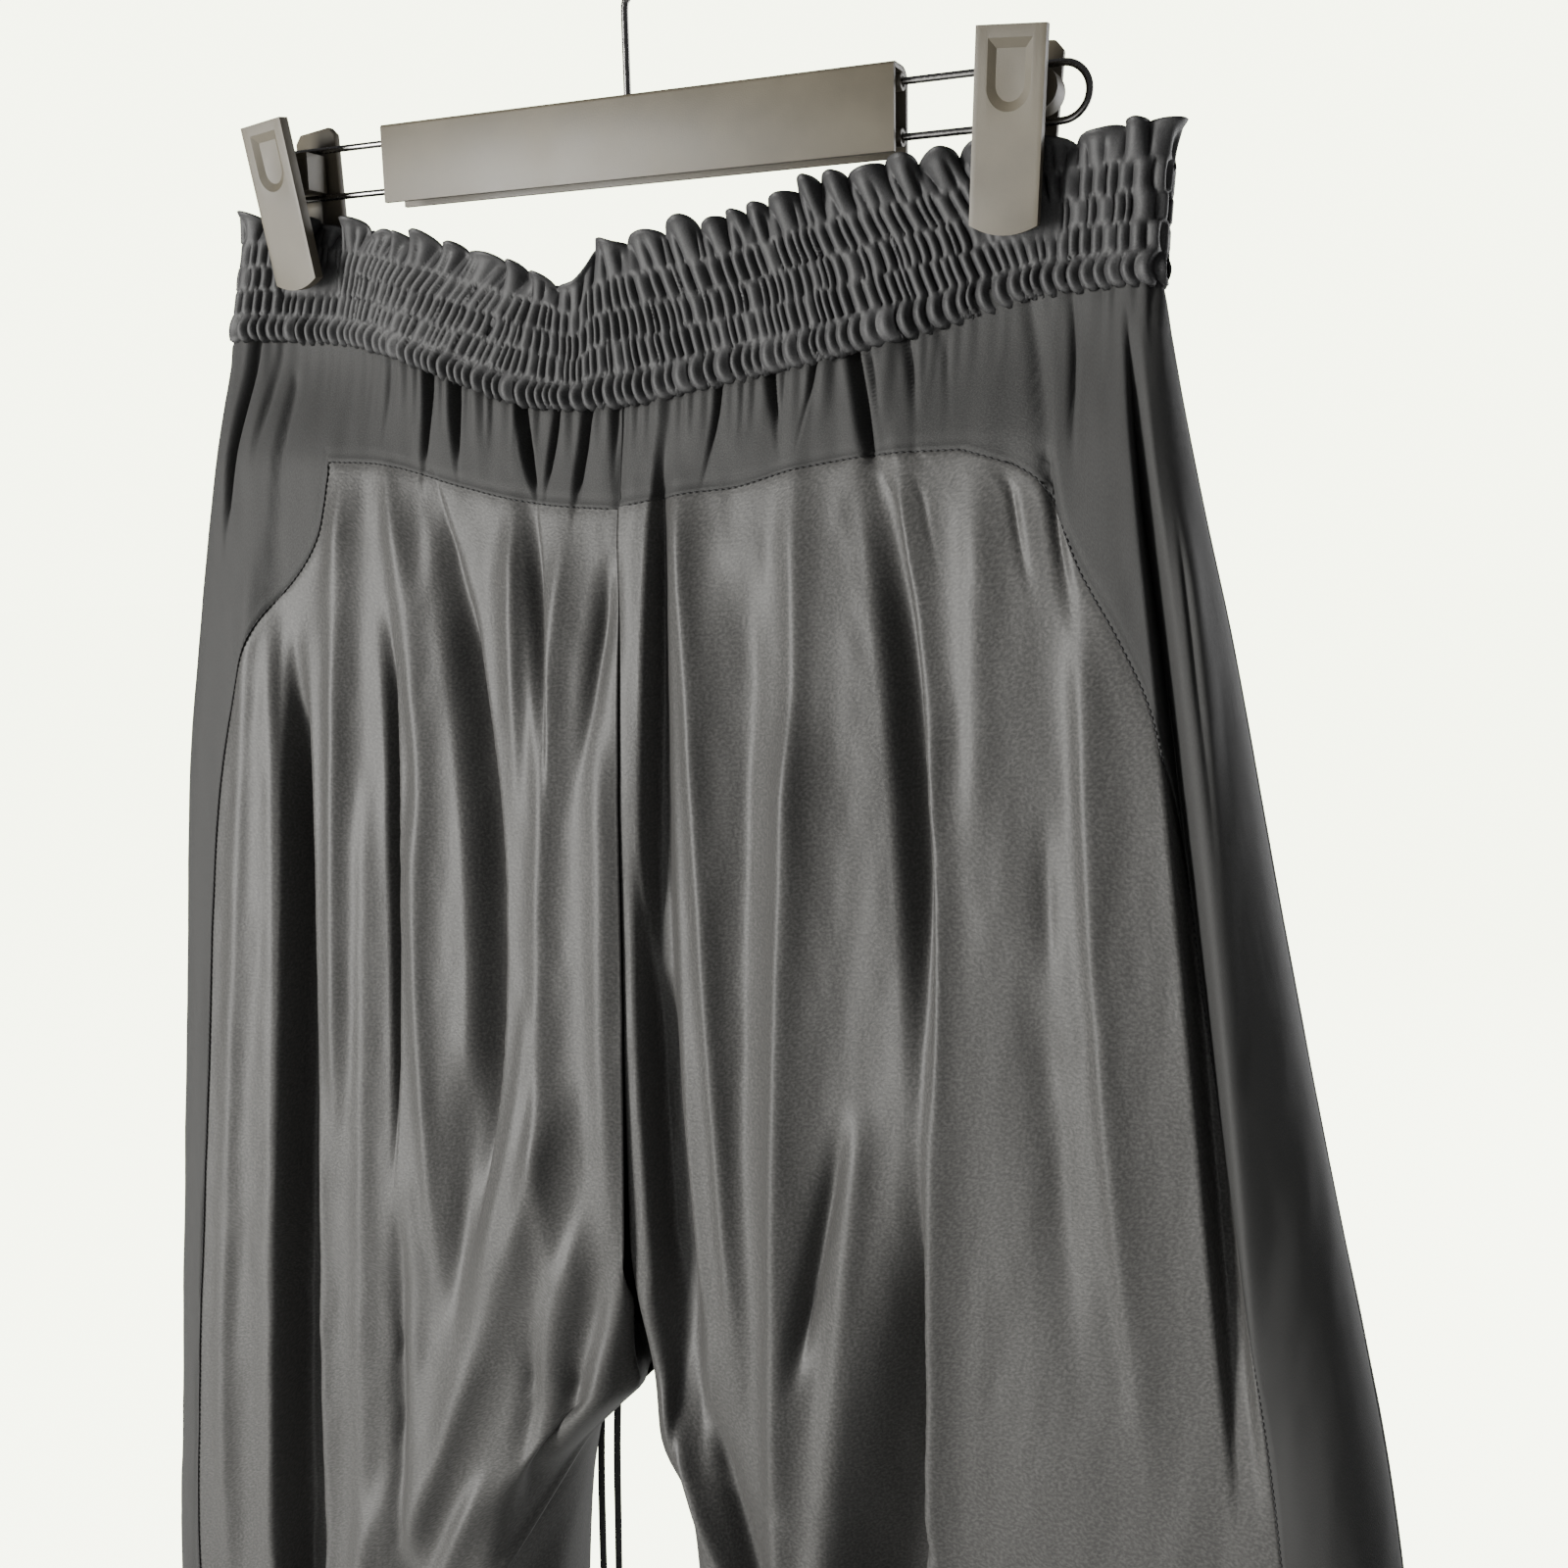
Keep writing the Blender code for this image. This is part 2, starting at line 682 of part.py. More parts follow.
def tube(name, points, radius, look, closed=False, resolution=3):
    """A wire or a cord along these points."""
    curve = bpy.data.curves.new(name, "CURVE")
    curve.dimensions = "3D"
    curve.bevel_depth = radius
    curve.bevel_resolution = resolution
    curve.use_fill_caps = not closed
    spline = curve.splines.new("POLY")
    spline.points.add(len(points) - 1)
    for place, point in zip(spline.points, points):
        place.co = (*point, 1.0)
    spline.use_cyclic_u = closed
    curve.materials.append(look)
    made = bpy.data.objects.new(name, curve)
    bpy.context.collection.objects.link(made)
    return made


def prism(name, outline, low, high, look):
    """A closed solid along X, from its outline in the YZ plane."""
    mesh = bpy.data.meshes.new(name)
    bm = bmesh.new()
    ends = [[bm.verts.new((at, y, z)) for y, z in outline] for at in (low, high)]
    bm.faces.new(ends[0])
    bm.faces.new(ends[1][::-1])
    count = len(outline)
    for i in range(count):
        j = (i + 1) % count
        bm.faces.new([ends[0][i], ends[1][i], ends[1][j], ends[0][j]])
    face_outwards(bm)
    bm.to_mesh(mesh)
    bm.free()
    mesh.materials.append(look)
    made = bpy.data.objects.new(name, mesh)
    bpy.context.collection.objects.link(made)
    return made


def arc(centre, radius, start, end, steps):
    """Points in the XZ plane, with angles in degrees from +X."""
    points = []
    for i in range(steps + 1):
        angle = math.radians(start + (end - start) * i / steps)
        points.append((centre[0] + radius * math.cos(angle), 0.0, centre[1] + radius * math.sin(angle)))
    return points


def combine(target, other, operation):
    """A live Boolean with a hidden helper."""
    modifier = target.modifiers.new(operation.title(), "BOOLEAN")
    modifier.operation = operation
    modifier.object = other
    other.hide_render = True
    other.display_type = "WIRE"


def cylinder(name, radius, long, sides):
    bm = bmesh.new()
    bmesh.ops.create_cone(bm, cap_ends=True, segments=sides, radius1=radius, radius2=radius, depth=long)
    mesh = bpy.data.meshes.new(name)
    bm.to_mesh(mesh)
    bm.free()
    made = bpy.data.objects.new(name, mesh)
    bpy.context.collection.objects.link(made)
    return made


def hanger_hook(look):
    """The steel hook, from its head inside the bar to its tip."""
    middle = (0.0, -(HOOK_R - HOOK_WIRE_R))
    joined = arc(middle, HOOK_R, HOOK_START, HOOK_START, 1)[0]
    bar_top = BAR_Z + BAR_TALL / 2
    head_top = bar_top - BAR_WALL - GAP
    knee = bar_top + SHANK
    foot = head_top - HOOK_HEAD_TALL / 2
    points = [(0, 0, foot), (0, 0, bar_top + BAR_WALL), (0, 0, bar_top + SHANK / 2), (0, 0, knee)]
    for across, up in HOOK_BEND:
        points.append((joined[0] * across, 0, knee + (joined[2] - knee) * up))
    points += arc(middle, HOOK_R, HOOK_START, HOOK_TIP, 26)
    wire = tube("hanger_hook", points, HOOK_WIRE_R, look, resolution=2)
    mesh = bpy.data.meshes.new_from_object(wire.evaluated_get(bpy.context.evaluated_depsgraph_get()))
    bpy.data.objects.remove(wire, do_unlink=True)
    mesh.name = "hanger_hook"
    bm = bmesh.new()
    bm.from_mesh(mesh)
    bmesh.ops.remove_doubles(bm, verts=bm.verts, dist=0.00001)
    bm.to_mesh(mesh)
    bm.free()
    hook = bpy.data.objects.new("hanger_hook", mesh)
    bpy.context.collection.objects.link(hook)
    head = cylinder("hook_head_helper", HOOK_HEAD_R, HOOK_HEAD_TALL, 14)
    head.location = (0, 0, head_top - HOOK_HEAD_TALL / 2)
    combine(hook, head, "UNION")
    return hook


def hanger_bar(look):
    """The plastic bar: a channel open underneath, with webs across it that hold the two wires."""
    half, deep, low = BAR_TALL / 2, BAR_DEEP / 2, BAR_Z - BAR_TALL / 2
    top = BAR_Z + half
    outline = [(-deep, low), (-deep, top - BAR_CHAMFER), (-deep + BAR_CHAMFER, top)]
    for i in range(BAR_ROUND_STEPS + 1):
        angle = math.pi / 2 * (1 - i / BAR_ROUND_STEPS)
        y = deep - BAR_ROUND + BAR_ROUND * math.cos(angle)
        outline.append((y, top - BAR_ROUND + BAR_ROUND * math.sin(angle)))
    inner, roof = deep - BAR_WALL, top - BAR_WALL
    outline += [(deep, low), (inner, low), (inner, top - BAR_ROUND)]
    outline += [(deep - BAR_ROUND + 0.0004, roof), (-inner, roof), (-inner, low)]
    bar = prism("hanger_bar", outline, -BAR_LONG / 2, BAR_LONG / 2, look)
    web = inner + BAR_WALL / 3
    web_low, web_top = low + WEB_LIFT, roof + BAR_WALL / 2
    for n, at in enumerate(WEBS_AT):
        square = [(-web, web_top), (web - BAR_WALL, web_top), (web, top - BAR_ROUND)]
        square += [(web, web_low), (-web, web_low)]
        rib = prism(f"web_helper_{n}", square, at - WEB_THICK / 2, at + WEB_THICK / 2, look)
        combine(bar, rib, "UNION")
    for n, up in enumerate((-RAIL_GAP / 2, RAIL_GAP / 2)):
        bore = cylinder(f"wire_bore_helper_{n}", WIRE_R + GAP, BAR_LONG, 16)
        bore.rotation_euler = (0, math.pi / 2, 0)
        bore.location = (0, 0, BAR_Z + up)
        combine(bar, bore, "DIFFERENCE")
    shank = cylinder("shank_bore_helper", HOOK_WIRE_R + GAP, 4 * BAR_WALL, 16)
    shank.location = (0, 0, top)
    combine(bar, shank, "DIFFERENCE")
    return bar


def hanger_wires(look):
    """Two steel wires that return on themselves round each end."""
    end = WIRE_REACH - RAIL_GAP / 2
    points = arc((end, BAR_Z), RAIL_GAP / 2, -90, 90, 12)
    points += arc((-end, BAR_Z), RAIL_GAP / 2, 90, 270, 12)
    return tube("hanger_wires", points, WIRE_R, look, closed=True, resolution=2)


def clip(side_name, plastic, steel):
    """A clip: a thumb plate in front, a plate behind the wires and the spring box between them."""
    side = SIDES[side_name]
    half = CLIP_WIDE / 2
    for part, outline, reach, lean, look in (
        ("front", CLIP_FRONT, half, CLIP_LEAN, plastic),
        ("back", CLIP_BACK, half, CLIP_LEAN, plastic),
        ("spring", CLIP_SPRING, CLIP_SPRING_HALF, 0.0, steel),
    ):
        made = prism(f"clip_{side_name}_{part}", outline, -reach, reach, look)
        made.rotation_euler = (0, side * lean, 0)
        made.location = (side * CLIP_AT, 0, BAR_Z)


def smooth_route(points, step):
    """Evenly spaced points on a smooth curve through the route's own points."""
    dense = []
    count = len(points)
    for i in range(count - 1):
        p0 = points[max(i - 1, 0)]
        p1, p2 = points[i], points[i + 1]
        p3 = points[min(i + 2, count - 1)]
        for n in range(24):
            s = n / 24
            dense.append(
                0.5 * ((2 * p1) + (p2 - p0) * s + (2 * p0 - 5 * p1 + 4 * p2 - p3) * s * s
                       + (3 * p1 - p0 - 3 * p2 + p3) * s ** 3)
            )
    dense.append(points[-1])
    whole = sum((b - a).length for a, b in zip(dense, dense[1:]))
    wanted = max(2, round(whole / step))
    spaced, travelled, target = [dense[0]], 0.0, whole / wanted
    for a, b in zip(dense, dense[1:]):
        length = (b - a).length
        while travelled + length >= target and len(spaced) < wanted:
            spaced.append(a.lerp(b, (target - travelled) / length))
            target += whole / wanted
        travelled += length
    spaced.append(dense[-1])
    return spaced


def drawstring(side_name, look):
    route = [Vector((x, y, BAR_Z - drop)) for x, y, drop in DRAWSTRING_ENDS[side_name]]
    points = smooth_route(route, DRAWSTRING_STEP)
    return tube(f"drawstring_{side_name}", points, DRAWSTRING_R, look, resolution=2)


def build():
    clear_scene()
    satin = material("satin", (0.030, 0.030, 0.032), 0.42)
    crepe = material("crepe", (0.016, 0.016, 0.018), 0.85)
    plastic = material("hanger_plastic", (0.090, 0.084, 0.078), 0.62)
    steel = material("hanger_steel", (0.35, 0.34, 0.33), 0.25, 1.0)
    for side_name in SIDES:
        for face_name in FACES:
            satin_panel(side_name, face_name, satin)
            yoke_panel(side_name, face_name, crepe)
        ankle_cuff(side_name, crepe)
        drawstring(side_name, crepe)
        clip(side_name, plastic, steel)
    for face_name in FACES:
        waistband(face_name, crepe)
    hanger_wires(steel)
    hanger_bar(plastic)
    hanger_hook(steel)


build()
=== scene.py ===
# %% [markdown]
# # Silk joggers on a clip hanger
# Loose joggers hang by the waist from a plastic and wire clip hanger, and show their back.
# The lesson builds them in the order a reader would notice them: where we stand, the cord,
# the cloth, the hanger, the finishes and the light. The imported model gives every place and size.

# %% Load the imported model
import math

import bmesh
import bpy
import numpy as np
from mathutils import Matrix, Vector


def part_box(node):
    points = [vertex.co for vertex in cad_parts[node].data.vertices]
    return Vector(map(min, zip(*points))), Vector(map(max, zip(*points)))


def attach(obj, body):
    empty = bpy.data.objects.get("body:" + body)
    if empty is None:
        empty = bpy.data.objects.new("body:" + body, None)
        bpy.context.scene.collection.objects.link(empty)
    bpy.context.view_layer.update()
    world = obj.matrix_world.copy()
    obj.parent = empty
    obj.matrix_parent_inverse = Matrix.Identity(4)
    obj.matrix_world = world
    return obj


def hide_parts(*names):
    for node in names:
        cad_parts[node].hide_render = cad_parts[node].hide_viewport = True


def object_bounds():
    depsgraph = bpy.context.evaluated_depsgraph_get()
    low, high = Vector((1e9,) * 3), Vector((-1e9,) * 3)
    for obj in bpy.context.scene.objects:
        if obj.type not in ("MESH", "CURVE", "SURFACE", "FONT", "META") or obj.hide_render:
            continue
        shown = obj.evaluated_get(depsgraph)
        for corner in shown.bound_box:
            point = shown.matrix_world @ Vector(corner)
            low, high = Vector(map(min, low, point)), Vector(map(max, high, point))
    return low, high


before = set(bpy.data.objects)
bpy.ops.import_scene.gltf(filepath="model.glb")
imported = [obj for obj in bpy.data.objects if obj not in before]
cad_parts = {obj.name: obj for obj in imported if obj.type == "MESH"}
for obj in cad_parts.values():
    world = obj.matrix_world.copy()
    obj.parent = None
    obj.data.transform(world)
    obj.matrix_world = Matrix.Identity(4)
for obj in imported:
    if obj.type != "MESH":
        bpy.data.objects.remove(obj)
bpy.ops.object.select_all(action="DESELECT")
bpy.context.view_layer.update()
bar_low, bar_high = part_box("hanger_bar")
BAR_Z = (bar_low.z + bar_high.z) / 2

# %% [markdown]
# ## Where we stand
# The waist is seen from close by, from the right of the middle and a little below the hanger.
# A camera can be aimed with a constraint or with three turns. Here its three axes are worked out
# from a turn, a tilt and a lean, so that each number says how the camera is held.

# %% Camera
TURN, TILT, LEAN = 0.414, -0.201, -0.019
EYE = Vector((0.2815, -0.516, BAR_Z - 0.1127))


def new_object(name, data):
    made = bpy.data.objects.new(name, data)
    bpy.context.collection.objects.link(made)
    return made


ahead = Vector((-math.sin(TURN) * math.cos(TILT), math.cos(TURN) * math.cos(TILT), math.sin(TILT)))
level = Vector((math.cos(TURN), math.sin(TURN), 0))
upright = level.cross(ahead)
across = level * math.cos(LEAN) + upright * math.sin(LEAN)
above = upright * math.cos(LEAN) - level * math.sin(LEAN)
camera_data = bpy.data.cameras.new("camera")
camera_data.lens, camera_data.sensor_width = 36, 36
camera_data.clip_start = 0.01
camera = new_object("camera", camera_data)
camera.matrix_world = Matrix.Translation(EYE) @ Matrix((across, above, -ahead)).transposed().to_4x4()
bpy.context.scene.camera = camera
print("camera at", [round(v, 3) for v in EYE])

# %% [markdown]
# ## The drawstring's ends
# Two lengths of narrow flat tape leave the front of the waistband and hang down behind, in view
# only between the legs. A curve with a flat bevel would do, but a strip of rings lets the tape
# turn slowly as it falls, so that one end shows its face and the other its edge.

# %% Tapes
# Where each end runs, in metres, from the waistband down
DRAWSTRING_ENDS = {
    "left": [
        # across, forward, drop
        (-0.013, 0.0150, 0.082),
        (-0.014, 0.0185, 0.085),
        (-0.017, 0.0230, 0.098),
        (-0.022, 0.0300, 0.135),
        (-0.029, 0.0375, 0.200),
        (-0.038, 0.0430, 0.290),
        (-0.048, 0.0490, 0.380),
        (-0.060, 0.0540, 0.470),
        (-0.070, 0.0565, 0.550),
        (-0.073, 0.0570, 0.620),
        (-0.073, 0.0560, 0.690),
    ],
    "right": [
        # across, forward, drop
        (0.013, 0.0150, 0.080),
        (0.012, 0.0185, 0.083),
        (0.006, 0.0240, 0.096),
        (-0.006, 0.0320, 0.135),
        (-0.018, 0.0390, 0.200),
        (-0.030, 0.0435, 0.290),
        (-0.042, 0.0500, 0.380),
        (-0.054, 0.0555, 0.470),
        (-0.063, 0.0590, 0.550),
        (-0.066, 0.0600, 0.615),
        (-0.067, 0.0590, 0.672),
    ],
}
TAPE_WIDE, TAPE_THICK, TAPE_STEP = 0.0034, 0.0009, 0.003
TAPE_SIDES, TAPE_SQUARENESS = 10, 0.6
SWAY, SWAY_RATE = 0.25, 0.11
TAPE_TURNS = {"left": np.radians((24, 30)), "right": np.radians((105, 20))}
ROUTE_FINE = 24
pieces = {}


def belongs(made, node=None):
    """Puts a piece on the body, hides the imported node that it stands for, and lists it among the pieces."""
    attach(made, "root")
    if node:
        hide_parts(node)
    pieces[made.name] = made
    return made


def smooth_route(points, step):
    """Evenly spaced points on a smooth curve through a few given ones."""
    points = [np.array(p) for p in points]
    dense = []
    for i in range(len(points) - 1):
        a, b = points[max(i - 1, 0)], points[i]
        c, d = points[i + 1], points[min(i + 2, len(points) - 1)]
        for s in np.linspace(0, 1, ROUTE_FINE, endpoint=False):
            bend = (2 * a - 5 * b + 4 * c - d) * s**2 + (3 * b - a - 3 * c + d) * s**3
            dense.append(0.5 * (2 * b + (c - a) * s + bend))
    dense = np.array(dense + [points[-1]])
    length = np.concatenate([[0], np.cumsum(np.linalg.norm(np.diff(dense, axis=0), axis=1))])
    even = np.linspace(0, length[-1], max(2, round(length[-1] / step)) + 1)
    return np.stack([np.interp(even, length, dense[:, k]) for k in range(3)], 1), float(length[-1])


def tube_faces(rings, sides, first=0):
    """The faces round a tube's rings of points, and one at each end."""
    faces = []
    for low in range(first, first + (rings - 1) * sides, sides):
        for k in range(sides):
            m = (k + 1) % sides
            faces.append((low + k, low + m, low + sides + m, low + sides + k))
    last = first + (rings - 1) * sides
    return faces + [tuple(range(first + sides - 1, first - 1, -1)), tuple(range(last, last + sides))]


def mesh_piece(name, points, faces):
    mesh = bpy.data.meshes.new(name)
    mesh.from_pydata([tuple(p) for p in points], [], faces)
    mesh.shade_smooth()
    return new_object(name, mesh)


def tape(name, route, turns):
    """A flat tape with rounded edges, its face turned from one angle to another on the way."""
    points, length = smooth_route(route, TAPE_STEP)
    count = len(points)
    along = np.gradient(points, axis=0)
    along /= np.linalg.norm(along, axis=1, keepdims=True)
    rim = []
    for i in range(count):
        turn = turns[0] + (turns[1] - turns[0]) * i / count + SWAY * math.sin(i * SWAY_RATE)
        wide = np.array([math.cos(turn), math.sin(turn), 0])
        wide -= along[i] * wide.dot(along[i])
        wide /= np.linalg.norm(wide)
        deep = np.cross(along[i], wide)
        for t in np.linspace(0, 2 * math.pi, TAPE_SIDES, endpoint=False):
            flat = math.copysign(abs(math.cos(t)) ** TAPE_SQUARENESS, math.cos(t)) * TAPE_WIDE / 2
            rim.append(points[i] + wide * flat + deep * math.sin(t) * TAPE_THICK / 2)
    made = mesh_piece(name, rim, tube_faces(count, TAPE_SIDES))
    chart = made.data.uv_layers.new(name="cut")
    for loop in made.data.loops:
        ring, place = divmod(loop.vertex_index, TAPE_SIDES)
        chart.data[loop.index].uv = (place / TAPE_SIDES * TAPE_WIDE * 2, ring * TAPE_STEP)
    return made, points, length


for side_name, ends in DRAWSTRING_ENDS.items():
    route = [(x, y, BAR_Z - drop) for x, y, drop in ends]
    piece, points, length = tape(f"drawstring_tape_{side_name}", route, TAPE_TURNS[side_name])
    belongs(piece, f"drawstring_{side_name}")
    print(side_name, "drawstring end", round(length, 3), "m")

# %% [markdown]
# ## Reading a shape from a few rows
# Each outline is a short table, in millimetres as a cutter would note them: how far down, then
# how far out. A spline object could hold it, but a function that reads a smooth curve between the
# rows, in metres, can be used on thousands of points at once.

# %% Tables and how they are read
SIDES = {"left": -1, "right": 1}
FACES = {"back": -1, "front": 1}
CROTCH, WAIST_FOOT, LEG_FOOT = 0.471, 0.060, 1.086
RISE_BEND, CROTCH_ROUND = 0.060, 0.016
SIDE_ROUND, SIDE_ROUND_START, SIDE_FADE = 0.030, 0.165, 0.022
CLIP_AT, CLIP_WIDE = 0.1415, 0.022
QUARTER = 1.11
CENTRE_GAP, CENTRE_SPREAD = 0.00003, 0.0004
ROLL_BACK, ROLL_STEP = 0.010, 0.012

SHAPE = [
    # drop, left, right, back_left, back_right, front_left, front_right
    (0, 170, 188, 12, 12, 12, 12),
    (60, 182, 187, 12, 12, 12, 12),
    (90, 189, 193, 16, 16, 15, 15),
    (130, 198, 202, 20, 20, 18, 18),
    (170, 206, 212, 23, 22, 21, 20),
    (250, 221, 229, 27, 26, 25, 24),
    (340, 231, 249, 32, 30, 30, 28),
    (430, 239, 270, 38, 32, 36, 30),
    (471, 243, 278, 41, 33, 39, 31),
    (530, 248, 287, 44, 34, 43, 32),
    (600, 256, 294, 46, 35, 45, 33),
    (700, 262, 296, 46, 36, 45, 35),
    (800, 258, 288, 44, 36, 43, 35),
    (900, 246, 272, 40, 35, 39, 34),
    (1000, 230, 250, 36, 33, 35, 32),
    (1060, 219, 233, 34, 32, 33, 31),
    (1086, 206, 217, 27, 27, 26, 26),
    (1130, 204, 214, 26, 26, 25, 25),
]
INSIDE = [
    # drop, left, right
    (471, 0, 0),
    (495, 23, 2),
    (503, 30, 9),
    (523, 46, 15),
    (560, 55, 18),
    (600, 60, 22),
    (700, 68, 33),
    (800, 76, 46),
    (900, 82, 60),
    (1000, 88, 75),
    (1060, 90, 84),
    (1086, 96, 100),
    (1130, 98, 102),
]
ROLL = [
    # drop, roll
    (490, 0),
    (520, 0),
    (552, 24),
    (583, 53),
    (660, 72),
    (800, 66),
    (1000, 20),
    (1086, 0),
]
SAG_ACROSS = [
    # x, share
    (-170, 0),
    (-145, 0.06),
    (-121, 0.14),
    (-99, 0.32),
    (-73, 0.61),
    (-47, 0.9),
    (-30, 1),
    (2, 1),
    (33, 0.84),
    (81, 0.58),
    (119, 0.29),
    (148, 0.04),
    (170, 0),
]
SAG_DOWN = [
    # drop, full sag there
    (60, 31),
    (90, 24),
    (109, 18),
    (150, 12),
    (220, 6),
    (300, 2),
    (400, 0),
    (500, 0),
]
HEADING = [
    # x, back, front
    (-172, 12, 16),
    (-150, 13, 16.5),
    (-121, 19, 21),
    (-88, 27, 31),
    (-54, 36, 42),
    (-29, 44, 50),
    (-17, 48, 52),
    (-10, 38, 51),
    (3, 34, 49),
    (26, 32, 44),
    (49, 29, 37),
    (84, 21, 28),
    (118, 15, 20),
    (134, 12.5, 16),
    (160, 13, 16),
    (190, 12.5, 15.5),
]
YOKE_SEAM = [
    # x, left, right
    (0, 127.5, 126.5),
    (28, 125.8, 122),
    (47, 123, 120),
    (68, 118.3, 114.5),
    (100, 110.3, 110),
    (127, 108.5, 109),
]
SIDE_SEAM = [
    # drop, left, right
    (109, 127, 127),
    (113, 127, 136),
    (118, 128, 147),
    (124, 129, 155),
    (138, 133, 162),
    (151, 142, 168),
    (172, 163, 181),
    (195, 175, 192),
    (240, 188, 202),
    (293, 196, 211),
    (369, 203, 226),
    (445, 210, 240),
    (520, 217, 250),
    (600, 224, 258),
    (700, 227, 261),
    (800, 221, 254),
    (900, 208, 238),
    (1000, 193, 217),
    (1060, 184, 201),
    (1086, 174, 186),
]


def reading(rows, column=1, unit=1000):
    """A smooth curve through one column of a table, as a function of the table's first column."""
    at = np.array([row[0] for row in rows]) / 1000
    value = np.array([row[column] for row in rows]) / unit
    slope = np.empty_like(value)
    slope[1:-1] = (value[2:] - value[:-2]) / (at[2:] - at[:-2])
    slope[0] = (value[1] - value[0]) / (at[1] - at[0])
    slope[-1] = (value[-1] - value[-2]) / (at[-1] - at[-2])

    def read(where):
        where = np.clip(where, at[0], at[-1])
        i = np.clip(np.searchsorted(at, where, side="right") - 1, 0, len(at) - 2)
        h = at[i + 1] - at[i]
        s = (where - at[i]) / h
        low = value[i] * (1 + 2 * s) * (1 - s) ** 2 + slope[i] * h * s * (1 - s) ** 2
        return low + value[i + 1] * s * s * (3 - 2 * s) + slope[i + 1] * h * s * s * (s - 1)

    return read


def ease(share):
    """A smooth step from 0 to 1."""
    share = np.clip(share, 0, 1)
    return share * share * (3 - 2 * share)


def bump(away, wide):
    """A soft bump, 1 in its middle."""
    return np.exp(-((away / wide) ** 2))


outer_edge = {-1: reading(SHAPE, 1), 1: reading(SHAPE, 2)}
inner_edge = {-1: reading(INSIDE, 1), 1: reading(INSIDE, 2)}
quarters = [(-1, -1), (1, -1), (-1, 1), (1, 1)]
depth_of = {quarter: reading(SHAPE, 3 + k) for k, quarter in enumerate(quarters)}
roll_at = reading(ROLL)
sag_across, sag_down = reading(SAG_ACROSS, unit=1), reading(SAG_DOWN)
print("half width at the crotch", float(outer_edge[-1](CROTCH)), float(outer_edge[1](CROTCH)))

# %% [markdown]
# ## Folds
# Cloth that hangs from two clips falls in long folds, each with a crest or a trough of its own
# width and length. A cloth simulation makes folds, but never these ones, so they are laid one by
# one, with a row for each, in millimetres. There are two kinds. A soft fold runs from its head,
# through its middle, to its foot; its round says how sharply the crest is creased, and a height
# below zero is a trough. A deep fold is a gutter with two edges and a wall at each, and the short
# ones that fan down over the yoke narrow towards their foot.

# %% Fold tables
BACK_FOLDS = [
    # head_x, head, middle_x, foot_x, foot, left, right, height, round
    # the left side panel and the edges of the deep fold beside it
    (-160, 120, -191, -208, 640, 6, 5, 3.4, 1.2),
    (-155, 150, -174, -192, 800, 10, 3, 2.4, 1.2),
    (-140, 150, -147, -166, 800, 3, 6, 1.6, 1),
    # left leg, from its side towards the middle
    (-119, 95, -129, -136, 420, 5, 6, 4.8, 0.8),
    (-113, 220, -124, -132, 700, 5, 7, 2.8, 1),
    (-104, 400, -108, -112, 800, 2.8, 3.5, -3.6, 0.8),
    (-103, 90, -88, -91, 320, 4, 6, 4, 0.8),
    (-90, 220, -91, -82, 460, 5, 5, 4, 0.8),
    (-98, 360, -98, -92, 640, 6, 6, 2.2, 1.2),
    (-43, 100, -43, -44, 260, 5, 4, 4.8, 0.8),
    (-19, 105, -34, -29, 460, 6, 6, 4, 0.8),
    (-2, 120, -10, -20, 240, 3, 4, -6, 1),
    (-6, 190, -8, -4, 440, 6, 5, 3.4, 1.2),
    # right leg, from the middle seam outwards
    (24, 85, 35, 49, 500, 4, 6, 4.6, 0.6),
    (53, 130, 48, 46, 450, 9, 6, -4.2, 2),
    (69, 92, 70, 69, 300, 5, 6, 3.6, 0.7),
    (70, 180, 62.5, 67, 740, 5.5, 10, 8.2, 0.5),
    (101, 88, 115.5, 123.5, 260, 4, 6, 3.4, 1.4),
    (120, 170, 122.5, 123, 800, 2.5, 8, 4.2, 0.6),
    (132, 100, 135, 136, 300, 5, 6, 2.6, 1.5),
    (157, 220, 160, 163, 300, 4, 3, -3, 1),
    (156, 270, 168, 176, 460, 7, 6, -3.5, 2),
    (168, 150, 180, 203, 470, 3, 8, 3.6, 0.8),
    # the right side panel
    (196, 110, 217, 238, 450, 5, 6, 4, 1.2),
    # below the knee
    (-168, 620, -158, -132, 1070, 14, 14, 6, 3),
    (120, 700, 128, 140, 1070, 12, 16, -7, 4),
    (160, 600, 160, 156, 1070, 12, 16, 6, 3),
    (214, 620, 204, 176, 1070, 14, 12, -6.5, 4),
    (100, 560, 86, 118, 1060, 14, 12, 5, 3),
]
# Deep folds with a floor: where their left and right edges run, and how wide each wall is
BACK_DEEP = [
    # head, foot, left at head, middle, foot, right at head, middle, foot, left wall, right wall, depth
    (170, 860, -151, -174, -192, -138, -147, -166, 4, 7.5, 19),
    (96, 240, -42, -37, -34, -34, -28.5, -29, 6, 2, 8.5),
    (140, 410, -105, -105, -109, -98, -99, -106, 4, 1.5, 8.5),
    (92, 440, -90, -70, -84, -80, -49, -73, 15, 2.6, 12),
    (52, 440, 16, 7, 8, 24, 24, 31, 4, 10, 11),
    (240, 520, 4, 7, 18, 15, 28, 36, 4, 8, 16),
    (85, 360, 88, 104, 112, 101, 120.5, 121.5, 12, 2.2, 12),
    (330, 820, 114, 74, 80, 120.5, 121.5, 122, 38, 3.5, 30),
    (430, 860, -108.5, -113, -118, -103, -106.5, -109, 5, 4.5, 10),
    (50, 470, 173, 202, 228, 179, 213, 242, 3, 5, 13),
]
